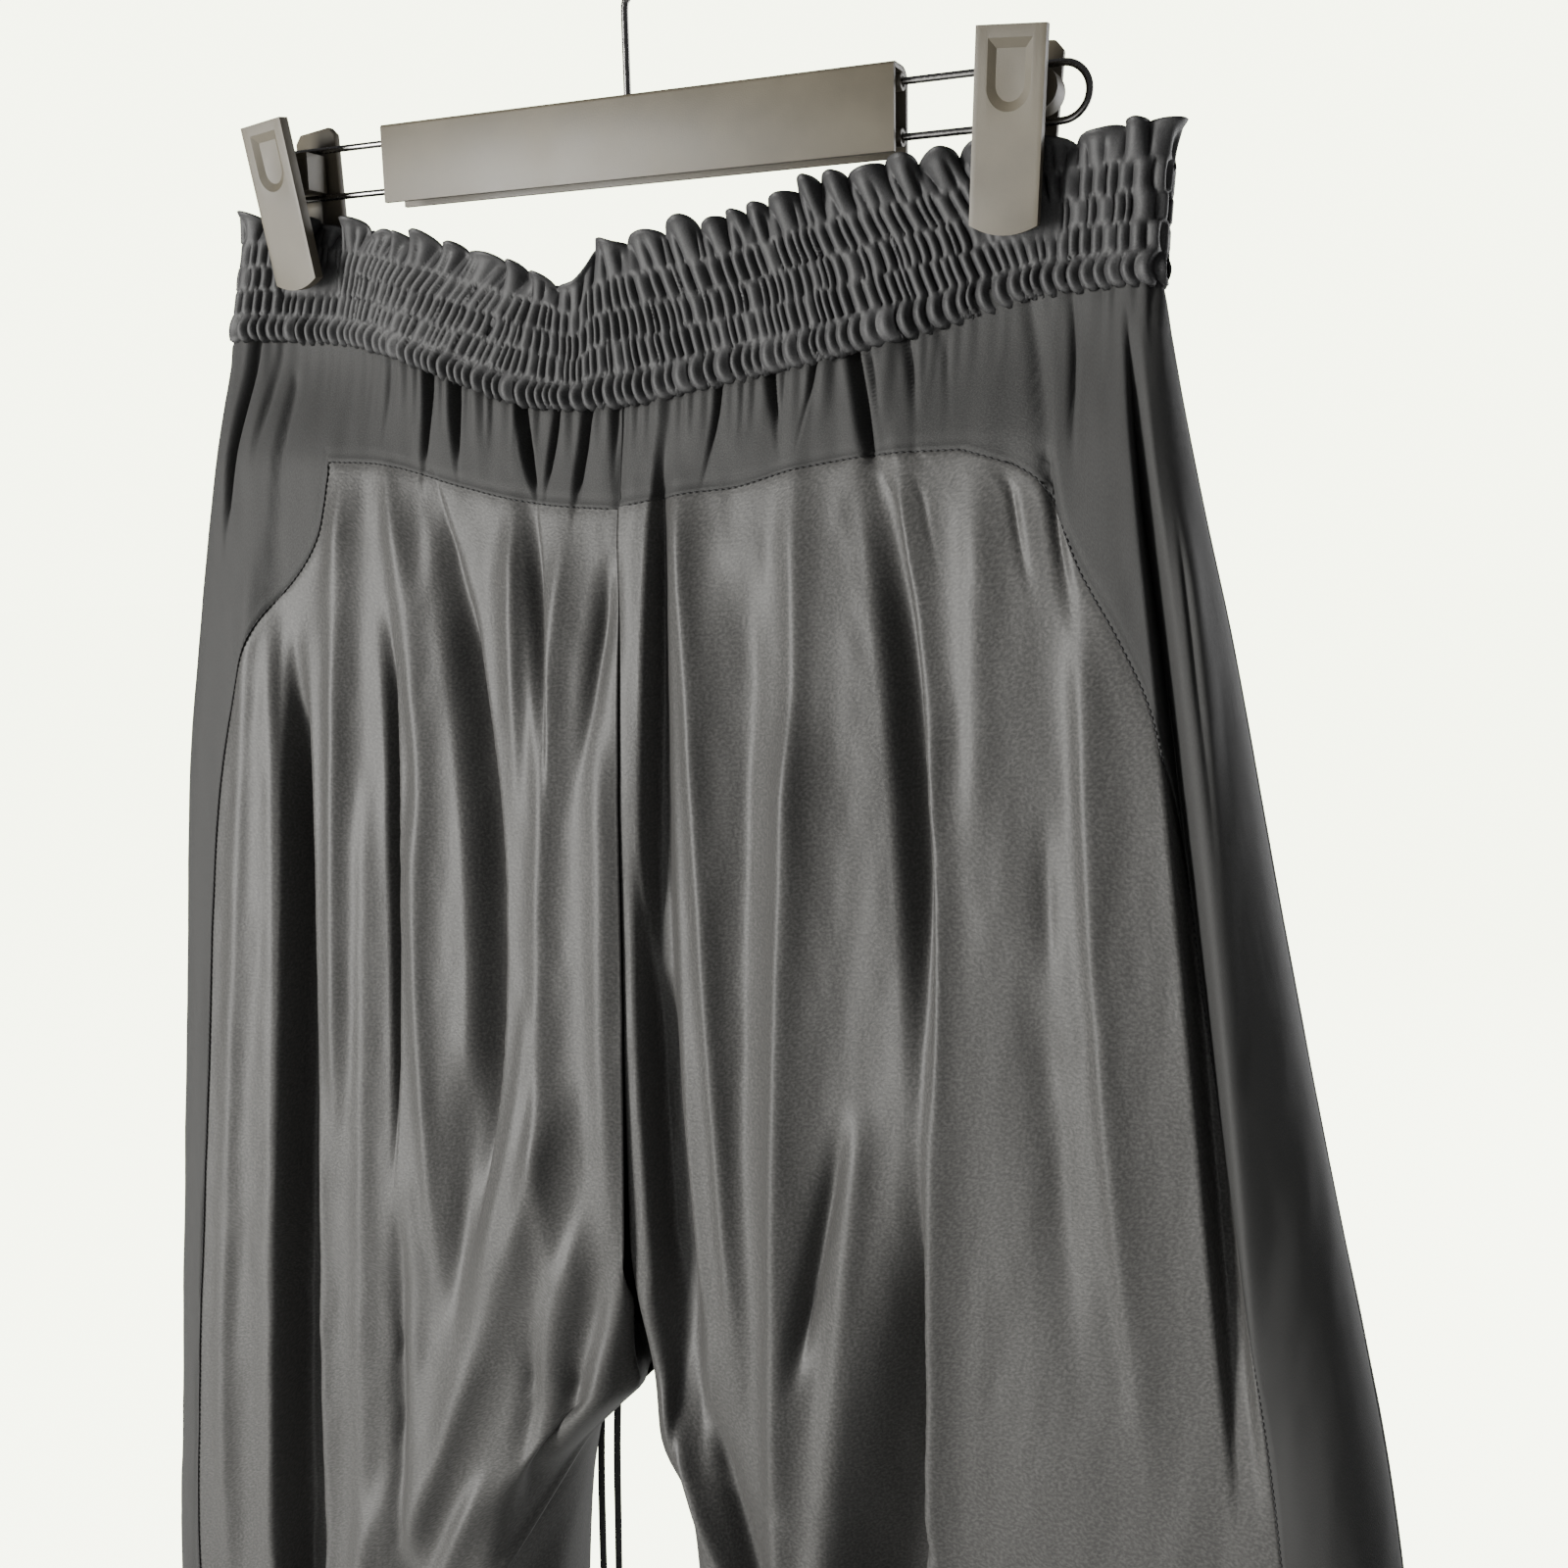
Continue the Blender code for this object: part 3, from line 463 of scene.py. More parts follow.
FRONT_FOLDS = [
    # head_x, head, middle_x, foot_x, foot, left, right, height, round
    (-150, 85, -158, -174, 820, 12, 16, 6.5, 2),
    (-118, 85, -124, -140, 740, 14, 10, -6.5, 4),
    (-86, 85, -92, -106, 680, 10, 14, 5.5, 2),
    (-55, 90, -60, -74, 440, 12, 12, -5.5, 4),
    (-24, 85, -26, -30, 400, 9, 11, 4.5, 1.8),
    (-10, 120, -11, -14, 440, 9, 6, -6, 3),
    (20, 100, 24, 30, 440, 8, 10, 4, 2.5),
    (50, 85, 58, 74, 660, 12, 13, -5.8, 4),
    (83, 90, 92, 108, 800, 10, 16, 6.2, 2),
    (118, 90, 128, 146, 700, 14, 12, -6, 4),
    (150, 100, 163, 184, 860, 12, 15, 5.5, 2),
    (188, 160, 203, 224, 760, 12, 12, -5, 3.5),
    (-188, 200, -198, -208, 780, 12, 12, -5, 3.5),
    (-200, 720, -184, -150, 1070, 14, 14, 5.5, 3),
    (-170, 560, -158, -134, 1070, 14, 12, -6.5, 4),
    (-122, 660, -118, -116, 1070, 12, 14, 5, 3),
    (130, 680, 132, 140, 1070, 12, 14, 5.8, 3),
    (178, 640, 172, 158, 1070, 14, 12, -6.5, 4),
    (224, 780, 210, 182, 1070, 12, 14, 5.5, 3),
]
# Soft pulls that run up and out from the crotch
BACK_PULLS = [
    # head_x, head, middle_x, foot_x, foot, left, right, height, round
    (-70, 330, -74, -82, 470, 5, 6, -4, 1.5),
    (-24, 335, -65, -116, 585, 13, 8, 8, 1.5),
    (-40, 300, -50, -78, 460, 4, 5, 3, 1),
    (-16, 385, -31, -54, 500, 4, 4, 4.5, 0.8),
    (-8, 405, -26, -37, 545, 4, 5, -9.5, 1.5),
    (-34, 430, -43, -48, 520, 3, 4, -6, 1),
    (-62, 505, -86, -112, 625, 5, 6, 6.5, 1),
    (-114, 520, -128, -146, 625, 7, 7, 4.5, 1.5),
    (96, 325, 84, 70, 620, 6, 6, 4.8, 1.5),
    (91, 335, 78, 68, 460, 3, 3, -7, 1),
    (8, 455, 34, 64, 590, 3, 5, 7.5, 1),
    (26, 450, 45, 66, 580, 4, 6, -7, 1),
]
# Folds that fan down over the yoke from the waistband's foot, sharp on one side
BACK_WEDGES = [
    # head, foot, left at head, middle, foot, right at head, middle, foot, left wall, right wall, depth
    (50, 150, -171, -179, -185, -163.5, -172, -178, 4.2, 2, 6.8),
    (50, 120, -159, -165, -170, -153, -159, -164, 4.2, 2, 5),
    (70, 260, -154, -157, -162, -146.5, -150, -152, 4.2, 7, 7.2),
    (50, 100, -114, -114, -114, -109.5, -109.5, -110, 3.8, 2, 3.2),
    (50, 112, -104, -105, -106, -99, -101, -102, 4.2, 1.8, 4.5),
    (50, 118, -86, -86.5, -88, -79, -80.5, -83, 4.2, 1.8, 7.9),
    (50, 112, -73, -73.5, -70, -67, -67, -66, 4.2, 1.8, 6.1),
    (50, 116, -47, -43, -36, -41.5, -35.5, -31, 4.2, 1.8, 7.4),
    (55, 116, -28, -31.5, -34, -24, -27, -30, 2.5, 2.2, 5.6),
    (50, 124, -15, -20, -24, -8.5, -13.5, -17, 4.2, 2.5, 6.9),
    (50, 112, -4, -4.5, -5, -0.5, -1, -1, 3.8, 1.8, 3.2),
    (50, 114, 36, 34.5, 28, 41.5, 38.5, 33, 3.8, 1.8, 6.5),
    (50, 108, 53, 58, 62, 58, 62.5, 65.5, 4.2, 1.8, 6.5),
    (50, 106, 73.5, 70, 64, 77, 73, 66.5, 2.8, 2, 5.1),
    (50, 125, 82, 89, 96, 88.5, 96, 101.5, 4.2, 1.8, 8.5),
    (50, 108, 89.5, 94.5, 100, 93, 98, 103, 3.2, 1.8, 4.5),
    (50, 110, 100, 106, 110, 105, 110.5, 114, 4.2, 1.8, 6.8),
    (95, 160, 108, 114.5, 121, 111.5, 118.5, 125, 3.8, 4.2, 4.7),
    (50, 112, 111.5, 118, 120, 115.5, 121.5, 123.5, 4.2, 1.8, 5.9),
    (50, 80, 126, 126.5, 127, 129, 130, 130, 3.2, 1.8, 3.2),
    (50, 128, 138, 147.5, 154, 147, 155.5, 161, 5, 4.5, 8.6),
    (100, 175, 139, 145, 152, 142.5, 150, 155, 3.8, 4.2, 5.8),
    (50, 125, 154, 159.5, 161.5, 159.5, 164, 165.5, 4.2, 1.8, 8.2),
    (105, 190, 152, 159, 167, 157, 165, 170.5, 4.2, 4.2, 7),
    (50, 100, 168, 169, 170, 170.5, 171.5, 172, 2.5, 1.8, 3.1),
    (140, 260, 196, 205, 214, 199, 208.5, 217, 3.8, 2, 4.9),
]
# Small hills everywhere, in metres; a row whose fade is below 0 fades out instead of in
RUMPLES = [
    # height, across, down, slant, layer, fade from, fade over
    (0.0007, 0.016, 0.110, 0, 0, 0.110, 0.080),
    (0.0003, 0.008, 0.060, 20, 1, 0.090, 0.050),
    (0.0002, 0.005, 0.012, 0, 2, -0.001, 0.001),
    (0.0010, 0.0075, 0.060, 0, 4, 0.135, -0.050),
]
# Small pleats where the leg crowds into its cuff, in metres
ANKLE_PLEATS = [
    # height, across, down, layer
    (0.0030, 0.0070, 0.09, 5),
    (0.0012, 0.0035, 0.05, 6),
]
ANKLE_START, ANKLE_OVER = 0.965, 0.10
FOLD_FADES, PULL_FADES = (0.045, 0.110), (0.040, 0.050)
DEEP_FADES, WEDGE_FADES = (0.090, 0.110), (0.008, 0.040)
WEDGE_NARROW, WALL_SPREAD = 0.60, 1.6
FOLD_POWER, FOLD_FOOT = 1.4, 0.8
NOISE_SEED, NOISE_LAYERS, NOISE_SIZE = 11, 8, 96


def along_fold(s, head, middle, foot):
    """Where a fold's line runs: a parabola through its head, its middle and its foot."""
    return head * (1 - s) * (1 - 2 * s) + 4 * middle * s * (1 - s) + foot * s * (2 * s - 1)


def lay_folds(rows, x, drop, fades):
    """The height of a table's soft folds at these places."""
    total = np.zeros_like(x)
    for head_x, head, middle_x, foot_x, foot, left, right, height, crest in np.array(rows) / 1000:
        s = np.clip((drop - head) / (foot - head), 0, 1)
        away = x - along_fold(s, head_x, middle_x, foot_x)
        wide = np.where(away < 0, left, right)
        rounded_off = np.sqrt(away * away + crest * crest) - crest
        fade_out = min(fades[1], (foot - head) * FOLD_FOOT)
        fade = ease((drop - head) / fades[0]) * ease((foot - drop) / fade_out)
        total += height * fade * np.exp(-((rounded_off / wide) ** FOLD_POWER))
    return total


def lay_deep(rows, x, drop, fades, narrowing=0):
    """The depth at these places of a table's folds that have two edges."""
    total = np.zeros_like(x)
    for head, foot, *edges, left_wall, right_wall, depth in np.array(rows) / 1000:
        s = np.clip((drop - head) / (foot - head), 0, 1)
        left, right = along_fold(s, *edges[:3]), along_fold(s, *edges[3:])
        left = right - (right - left) * (1 - narrowing * s**3)
        fade = ease((drop - head) / fades[0]) * ease((foot - drop) / fades[1])
        right_wall = right_wall * (1 + WALL_SPREAD * narrowing * s)
        cut = ease((x - left) / left_wall) * ease((right - x) / right_wall)
        total = np.minimum(total, -depth * fade * cut)
    return total


noise_bank = np.random.default_rng(NOISE_SEED).random((NOISE_LAYERS, NOISE_SIZE, NOISE_SIZE)) * 2 - 1


def rumple(a, b, layer):
    """Smooth random hills over a plane, between -1 and 1."""
    i, j = np.floor(a).astype(int), np.floor(b).astype(int)
    s, t = ease(a - i), ease(b - j)
    bank = noise_bank[layer]
    i0, i1, j0, j1 = i % NOISE_SIZE, (i + 1) % NOISE_SIZE, j % NOISE_SIZE, (j + 1) % NOISE_SIZE
    top = bank[i0, j0] * (1 - s) + bank[i1, j0] * s
    low = bank[i0, j1] * (1 - s) + bank[i1, j1] * s
    return top * (1 - t) + low * t


def cloth_height(face, x, drop):
    """All that pushes the cloth out of its plain section."""
    if face < 0:
        high = lay_folds(BACK_FOLDS, x, drop, FOLD_FADES) + lay_folds(BACK_PULLS, x, drop, PULL_FADES)
        high += lay_deep(BACK_DEEP, x, drop, DEEP_FADES)
    else:
        high = lay_folds(FRONT_FOLDS, x, drop, FOLD_FADES)
    high += lay_deep(BACK_WEDGES, -face * x, drop, WEDGE_FADES, WEDGE_NARROW)
    shift = 40.0 * (face + 2)
    for height, across, down, slant, layer, start, over in RUMPLES:
        hills = rumple(x / across + shift + drop * slant, drop / down, layer)
        high += height * hills * ease((drop - start) / over)
    near_ankle = ease((drop - ANKLE_START) / ANKLE_OVER)
    pleats = [height * rumple(x / across, drop / down, layer) for height, across, down, layer in ANKLE_PLEATS]
    return high + near_ankle * sum(pleats)


long_folds = len(BACK_FOLDS) + len(BACK_PULLS) + len(BACK_DEEP) + len(FRONT_FOLDS)
print(long_folds, "long folds,", len(BACK_WEDGES), "short ones a face")

# %% [markdown]
# ## The cloth's surface
# A leg is a tube that hangs nearly flat: two faces, a tight turn at the side seam, and an inner
# turn that only opens below the crotch. Each point is found by walking round that section from
# the inner edge, so that a panel keeps its width however the section changes below it.

# %% Surface
PLATE_FOOT, JAW_HEAD = 0.0445, 0.028
PRESS_MORE, PRESS_SIDE_OVER, PRESS_BELOW, PRESS_FOOT_OVER, PRESS_HEAD_OVER = 0.005, 0.004, 0.003, 0.005, 0.006
PINCH, PINCH_HALF, PINCH_EASE, PINCH_POWER = 0.85, 0.040, 0.050, 2.4
FOLD_AT_SIDE = 0.1
HALVINGS, SETTLES = 26, 30
ROW_START, SPARSE, SPARSE_AT, SPARSE_LONG = 0.130, 0.35, 0.80, 0.18
TINY = 1e-9


def pinch(x, drop):
    """How much of the garment's depth is left beside a clip."""
    near = np.exp(-np.abs((np.abs(x) - CLIP_AT) / PINCH_HALF) ** PINCH_POWER)
    return 1 - PINCH * near * (1 - ease((drop - WAIST_FOOT) / PINCH_EASE))


def pressed(x, drop):
    """1 under a clip's front plate, 0 away from it."""
    beside = ease((CLIP_WIDE / 2 + PRESS_MORE - np.abs(np.abs(x) - CLIP_AT)) / PRESS_SIDE_OVER)
    over_foot = ease((PLATE_FOOT + PRESS_BELOW - drop) / PRESS_FOOT_OVER)
    return beside * over_foot * ease((drop - JAW_HEAD) / PRESS_HEAD_OVER)


def walk(side, on, girth, drop):
    """Where a walk round the plain section arrives, which way is out, and the whole length."""
    deep = np.where(on < 0, depth_of[side, -1](drop), depth_of[side, 1](drop))
    outer = outer_edge[side](drop)
    held = ease((CROTCH - drop) / RISE_BEND)
    inner = CENTRE_GAP + CENTRE_SPREAD * (1 - held) + np.where(drop > CROTCH, inner_edge[side](drop), 0)
    bend = np.minimum(CROTCH_ROUND * (1 - held), (outer - inner) / 2)
    turn = np.minimum(deep, SIDE_ROUND)
    first = np.where(bend > 0, QUARTER * np.hypot(bend, deep * (1 - held)), 0)
    last = QUARTER * np.hypot(turn, deep)
    flat = outer - turn - inner - bend
    a = np.clip(girth / np.maximum(first, TINY), 0, 1) * math.pi / 2
    c = np.clip((girth - first - flat) / last, 0, 1) * math.pi / 2
    x = inner + bend * (1 - np.cos(a)) + np.clip(girth - first, 0, flat) + turn * np.sin(c)
    y = deep * (held + (1 - held) * np.sin(a)) * np.cos(c)
    inside = girth < first
    out_x = np.where(inside, -(1 - held) * deep * np.cos(a), deep * np.sin(c))
    out_y = np.where(inside, bend * np.sin(a), turn * np.cos(c))
    size = np.maximum(np.hypot(out_x, out_y), TINY)
    return x, y, out_x / size, out_y / size, inner + bend + girth - first, first + flat + last


def skin(side, face, share, drop, lift=0.0, folded=True):
    """Points of the cloth. share runs from 0 at the inner edge to 1 at the side seam."""
    share, drop = np.broadcast_arrays(np.asarray(share, float), np.asarray(drop, float))
    on = np.full(share.shape, face)
    whole = walk(side, on, 0 * drop, drop)[5]
    roll = roll_at(drop) if side < 0 else 0 * drop
    girth = roll + share * (whole - roll) if face < 0 else -roll + share * (whole + roll)
    on = np.where(girth < 0, -face, on)
    girth = np.abs(girth)
    x, y, out_x, out_y, place, whole = walk(side, on, girth, drop)
    push = np.zeros_like(x)
    if folded:
        near_side = FOLD_AT_SIDE + (1 - FOLD_AT_SIDE) * ease((whole - girth) / SIDE_FADE)
        back, front = (cloth_height(face_here, side * place, drop) for face_here in (-1, 1))
        push = np.where(on < 0, back, front) * near_side
    if side < 0 and face > 0:
        tucked = ease((roll - girth) / ROLL_STEP) * ease(girth / ROLL_STEP)
        push = push - np.where(on < 0, ROLL_BACK * tucked, 0)
    push = push + lift
    sag = sag_down(drop) * sag_across(side * x)
    squeeze = pinch(x, drop)
    return np.stack([side * (x + out_x * push), on * (y + out_y * push) * squeeze, BAR_Z - drop - sag], -1)


def share_at(side, face, x, drop):
    """The share along the section that lies this far from the middle."""
    low, high = np.zeros_like(drop), np.ones_like(drop)
    for _ in range(HALVINGS):
        mid = (low + high) / 2
        short = side * skin(side, face, mid, drop, folded=False)[..., 0] < x
        low, high = np.where(short, mid, low), np.where(short, high, mid)
    return (low + high) / 2


def rows_down(count):
    """How far down the leg each row lies: close together to the knee, further apart below it."""
    t = np.arange(1, count + 1) / count
    start = np.sqrt(t * t + ROW_START**2) - ROW_START
    return (1 - SPARSE) * start / start[-1] + SPARSE * ease((t - SPARSE_AT) / SPARSE_LONG)


def seam_line(side, face, columns, rows):
    """Shares and drops along the yoke's seam, then down the side panel's seam."""
    column = 1 if side < 0 else 2
    yoke_seam, side_seam = reading(YOKE_SEAM, column), reading(SIDE_SEAM, column)
    corner = YOKE_SEAM[-1][0] / 1000
    x = np.linspace(0, corner, columns + 1)
    depth = yoke_seam(x)
    drop = depth.copy()
    for _ in range(SETTLES):
        drop = depth - sag_down(drop) * sag_across(side * x)
    top = drop[-1]
    down = top + (LEG_FOOT - top) * rows_down(rows)
    out = side_seam(np.minimum(down + sag_down(down) * sag_across(side * corner), LEG_FOOT))
    drops = np.concatenate([drop, down])
    shares = share_at(side, face, np.concatenate([x, out]), drops)
    shares[0] = 0
    return shares, drops


print("cloth reaches", np.round(skin(-1, -1, 1.0, np.array([0.1, 0.6]))[..., 0], 3))

# %% [markdown]
# ## Puckers
# Elastic crowds cloth into small puckers: broad round ridges with narrow slits between them. Each
# has its own width and size, drawn at random, and a row above the first moves each of its
# puckers a little, so that no two rows line up. A point's place in its pucker gives both how far
# it stands out and how far it slides towards the slit, as a point on a rolling wheel does.

# %% Puckers
CROWD, PUCKER_REACH = 0.62, 0.26
PUCKER_WIDTHS, PUCKER_SIZES = (0.58, 1.50), (0.45, 1.20)
WIDER_FROM, WIDER_OVER = 0.145, 0.03
ROW_SHIFT, ROW_STRAY = 0.45, 0.25


def puckers(s, spacing, seed, wider=0.0, row=0):
    """Where each place lies in its pucker, from 0 to 1, the pucker's width, and its own size."""
    random = np.random.default_rng(seed)
    edges = [-PUCKER_REACH]
    while edges[-1] < PUCKER_REACH:
        grown = 1 + wider * float(ease((abs(edges[-1]) - WIDER_FROM) / WIDER_OVER))
        edges.append(edges[-1] + spacing * grown * random.uniform(*PUCKER_WIDTHS))
    edges = np.array(edges)
    if row:
        random = np.random.default_rng(seed + row)
        steps = np.diff(edges)
        stray = random.uniform(-ROW_STRAY, ROW_STRAY, len(steps))
        edges = edges[:-1] + steps * (ROW_SHIFT * (row % 2) + stray)
    sizes = random.uniform(*PUCKER_SIZES, len(edges))
    which = np.clip(np.searchsorted(edges, s, side="right") - 1, 0, len(edges) - 2)
    wide = edges[which + 1] - edges[which]
    return (s - edges[which]) / wide, wide, sizes[which]


def ridge(inside):
    """A pucker's round top, from its place: 0 at its slits and 1 half way."""
    return (1 - np.cos(2 * math.pi * inside)) / 2


def crowding(inside, wide):
    """Moves cloth towards the slits, so that ridges are broad and the slits between them narrow."""
    return -wide * CROWD / (2 * math.pi) * np.sin(2 * math.pi * inside)


print("one pucker, from slit to slit", np.round(ridge(np.linspace(0, 1, 5)), 2))

# %% [markdown]
# ## Turning a grid of points into cloth
# Every garment piece is a grid: rows go down, columns go across. The grid becomes a mesh with a
# chart in metres, so that a weave has the same size everywhere, and Solidify gives it its wall.

# %% Cloth from a grid


def looking(face):
    """For a back or a front piece: which way is out, wherever on the piece."""
    return lambda middles: np.array([0, face, 0])


def cloth(name, points, thick, chart, outward, closed=False):
    """A mesh over a grid of points, its faces turned outwards, with a chart and a wall."""
    rows, columns = points.shape[:2]
    index = np.arange(rows * columns).reshape(rows, columns)
    if closed:
        index = np.concatenate([index, index[:, :1]], 1)
        chart = np.concatenate([chart, chart[:, :1] + [[[chart[0, -1, 0] - chart[0, 0, 0], 0]]]], 1)
    quads = np.stack([index[:-1, :-1], index[1:, :-1], index[1:, 1:], index[:-1, 1:]], -1).reshape(-1, 4)
    corners = np.stack([chart[:-1, :-1], chart[1:, :-1], chart[1:, 1:], chart[:-1, 1:]], -2).reshape(-1, 4, 2)
    flat = points.reshape(-1, 3)
    a, b, c = flat[quads[:, 0]], flat[quads[:, 1]], flat[quads[:, 2]]
    if (np.cross(b - a, c - a) * outward(flat[quads].mean(1))).sum() < 0:
        quads, corners = quads[:, ::-1], corners[:, ::-1]
    made = mesh_piece(name, flat, [tuple(q) for q in quads.tolist()])
    made.data.uv_layers.new(name="cut").data.foreach_set("uv", corners.reshape(-1))
    wall = made.modifiers.new("wall", "SOLIDIFY")
    wall.thickness, wall.offset = thick, 0
    return made


def lengths(points, axis):
    """How far each point lies along its row or column, in metres."""
    step = np.linalg.norm(np.diff(points, axis=axis), axis=-1)
    pad = np.zeros_like(step[:1] if axis == 0 else step[:, :1])
    return np.concatenate([pad, np.cumsum(step, axis=axis)], axis=axis)


def garment(made, node, flat):
    """Gives a cloth piece its place in the body, and says what was cut for it."""
    belongs(made, node)
    sewn = sum(p.area for p in made.data.polygons)
    print(f"{made.name}: {len(made.data.polygons)} faces, {sewn:.4f} m2, flat {flat[0] * flat[1]:.4f} m2")


# %% [markdown]
# ## Satin panels
# Each leg has a satin panel on the back and one on the front, from the yoke down to the ankle.
# It could be one tube a leg, but a maker cuts four, and the seams between them show. The rows lie
# closest at the top, where the folds are sharp, and the lines down the leg are evened a little
# at the end, so that a steep fold which crosses them doesn't show as steps.

# %% Satin panels
SATIN_WALL = 0.0007
SEAM_DIP, SEAM_HALF = 0.0003, 0.0020
INSEAM_ROLL, INSEAM_HALF, INSEAM_START, INSEAM_OVER = 0.0022, 0.005, 0.01, 0.02
COLUMNS_SETTLED = 0.22
EVENING_ROUNDS = 3
SATIN_GRID = {"back": (210, 212), "front": (80, 120)}
SATIN_CUT = {
    # face, side: width, length, area
    ("back", "left"): (0.300, 0.985, 0.178),
    ("front", "left"): (0.265, 0.985, 0.206),
    ("back", "right"): (0.325, 0.985, 0.246),
    ("front", "right"): (0.275, 0.985, 0.218),
}


def relaxed(points):
    """Evens the lines of points that run down the leg; both ends stay."""
    for _ in range(EVENING_ROUNDS):
        points[1:-1] = points[1:-1] / 2 + (points[:-2] + points[2:]) / 4
    return points


def satin_panel(side_name, face_name, columns, rows):
    """One panel, whose columns start where the yoke's seam has them and end evenly spaced."""
    side, face = SIDES[side_name], FACES[face_name]
    shares, drops = seam_line(side, face, columns, rows)
    top_share, top_drop = shares[: columns + 1], drops[: columns + 1]
    edge_share, edge_drop = shares[columns:], drops[columns:]
    down = ((edge_drop - edge_drop[0]) / (LEG_FOOT - edge_drop[0]))[:, None]
    even = np.linspace(0, 1, columns + 1)[None, :]
    settled = ease(np.arange(rows + 1) / (rows * COLUMNS_SETTLED))[:, None]
    start = (top_share / top_share[-1])[None, :]
    share = edge_share[:, None] * (start + (even - start) * settled)
    drop = top_drop[None, :] + (LEG_FOOT - top_drop[None, :]) * down
    plain = skin(side, face, share, drop)
    from_middle, from_top = lengths(plain, 1), lengths(plain, 0)
    dip = np.zeros_like(share)
    for far in (from_middle, from_middle[:, -1:] - from_middle, from_top):
        dip = np.maximum(dip, bump(far, SEAM_HALF))
    lift = -SEAM_DIP * dip
    if side < 0 and face < 0:
        below_crotch = ease((drop - CROTCH - INSEAM_START) / INSEAM_OVER)
        lift = lift + INSEAM_ROLL * bump(from_middle, INSEAM_HALF) * below_crotch
    points = relaxed(skin(side, face, share, drop, lift))
    chart = np.stack([from_middle, drop], -1)
    return cloth(f"satin_{face_name}_{side_name}", points, SATIN_WALL, chart, looking(face))


for side_name in SIDES:
    for face_name in FACES:
        piece = satin_panel(side_name, face_name, *SATIN_GRID[face_name])
        wide, long, area = SATIN_CUT[face_name, side_name]
        garment(piece, f"{face_name}_panel_{side_name}", (wide, long))

# %% [markdown]
# ## Crepe yokes and side panels
# The dull yoke lies under the waistband and runs on down the side of the leg in the same cut.
# Its grid follows the seam: down one long edge are the satin's own points, and the far edge is
# the waistband's foot and then the side seam.

# %% Yokes
CREPE_WALL = 0.0008
YOKE_FAN, YOKE_FADE, UNDER_BAND, YOKE_CORNER = 0.9, 0.080, 0.007, 0.27
EDGE_RISE, EDGE_DIP, EDGE_DIP_AT, EDGE_HALF = 0.0002, 0.0005, 0.0030, 0.0016
SIDE_DIP, SEAT_DIP, FAR_AWAY = 0.0004, 0.0012, 1.0
TUCK, TUCK_FROM, TUCK_OVER = 0.0030, 0.003, 0.008
YOKE_PUCKER, YOKE_PUCKER_HIGH, YOKE_PUCKER_FOOT, YOKE_PUCKER_OVER = 0.0052, 0.0016, 0.088, 0.030
YOKE_SEED = 90
CREPE_GRID = {"back": (310, 150, 30), "front": (90, 110, 18)}
CREPE_CUT, CREPE_AREA = (0.218, 1.040), 0.070


def yoke(side_name, face_name, columns, rows, cells):
    """The yoke and side panel in one grid, from the satin's seam out to the far edge."""
    side, face = SIDES[side_name], FACES[face_name]
    shares, drops = seam_line(side, face, columns, rows)
    count = np.arange(len(shares))
    corner = columns + round(columns * YOKE_CORNER)
    head = WAIST_FOOT - UNDER_BAND
    past = drops - drops[corner]
    far_share = np.where(count <= corner, (np.minimum(count, corner) / corner) ** YOKE_FAN, 1.0)
    far_drop = np.where(count <= corner, head, drops - (drops[corner] - head) * np.exp(-past / YOKE_FADE))
    far_drop[-1] = LEG_FOOT
    part = np.linspace(0, 1, cells + 1)[None, :]
    share = shares[:, None] + (far_share - shares)[:, None] * part
    drop = drops[:, None] + (far_drop - drops)[:, None] * part
    plain = skin(side, face, share, drop)
    from_seam = lengths(plain, 1)
    to_side = np.where(count[:, None] > corner, from_seam[:, -1:] - from_seam, FAR_AWAY)
    to_middle = np.where(count[:, None] < columns, np.abs(plain[..., 0]), FAR_AWAY)
    lift = EDGE_RISE * bump(from_seam, EDGE_HALF) - EDGE_DIP * bump(from_seam - EDGE_DIP_AT, EDGE_HALF)
    lift = lift - SIDE_DIP * bump(to_side, SEAM_HALF) - SEAT_DIP * bump(to_middle, SEAM_HALF)
    lift = lift - TUCK * ease((WAIST_FOOT + TUCK_FROM - drop) / TUCK_OVER)
    place, _, size = puckers(plain[..., 0], YOKE_PUCKER, YOKE_SEED + side + 3 * face)
    near_band = ease((YOKE_PUCKER_FOOT - drop) / YOKE_PUCKER_OVER)
    lift = lift + YOKE_PUCKER_HIGH * ridge(place) * size * near_band
    points = skin(side, face, share, drop, lift)
    along = lengths(plain, 0)
    chart = np.stack([along.mean(1, keepdims=True) + 0 * from_seam, from_seam], -1)
    return cloth(f"crepe_{face_name}_{side_name}", points, CREPE_WALL, chart, looking(face))


for side_name in SIDES:
    for face_name in FACES:
        piece = yoke(side_name, face_name, *CREPE_GRID[face_name])
        garment(piece, f"{face_name}_yoke_{side_name}", CREPE_CUT)

# %% [markdown]
# ## The shirred waistband
# Four rows of elastic draw the waistband in, and the cloth between the stitch lines stands up in
# small upright puckers. Above them a free edge spreads into a frill. Each row gets puckers of
# its own, with uneven spacing, and each pucker is a round ridge between two sharp slits. The
# rows and the frill are worked out apart, and the waistband adds what each of them moves.

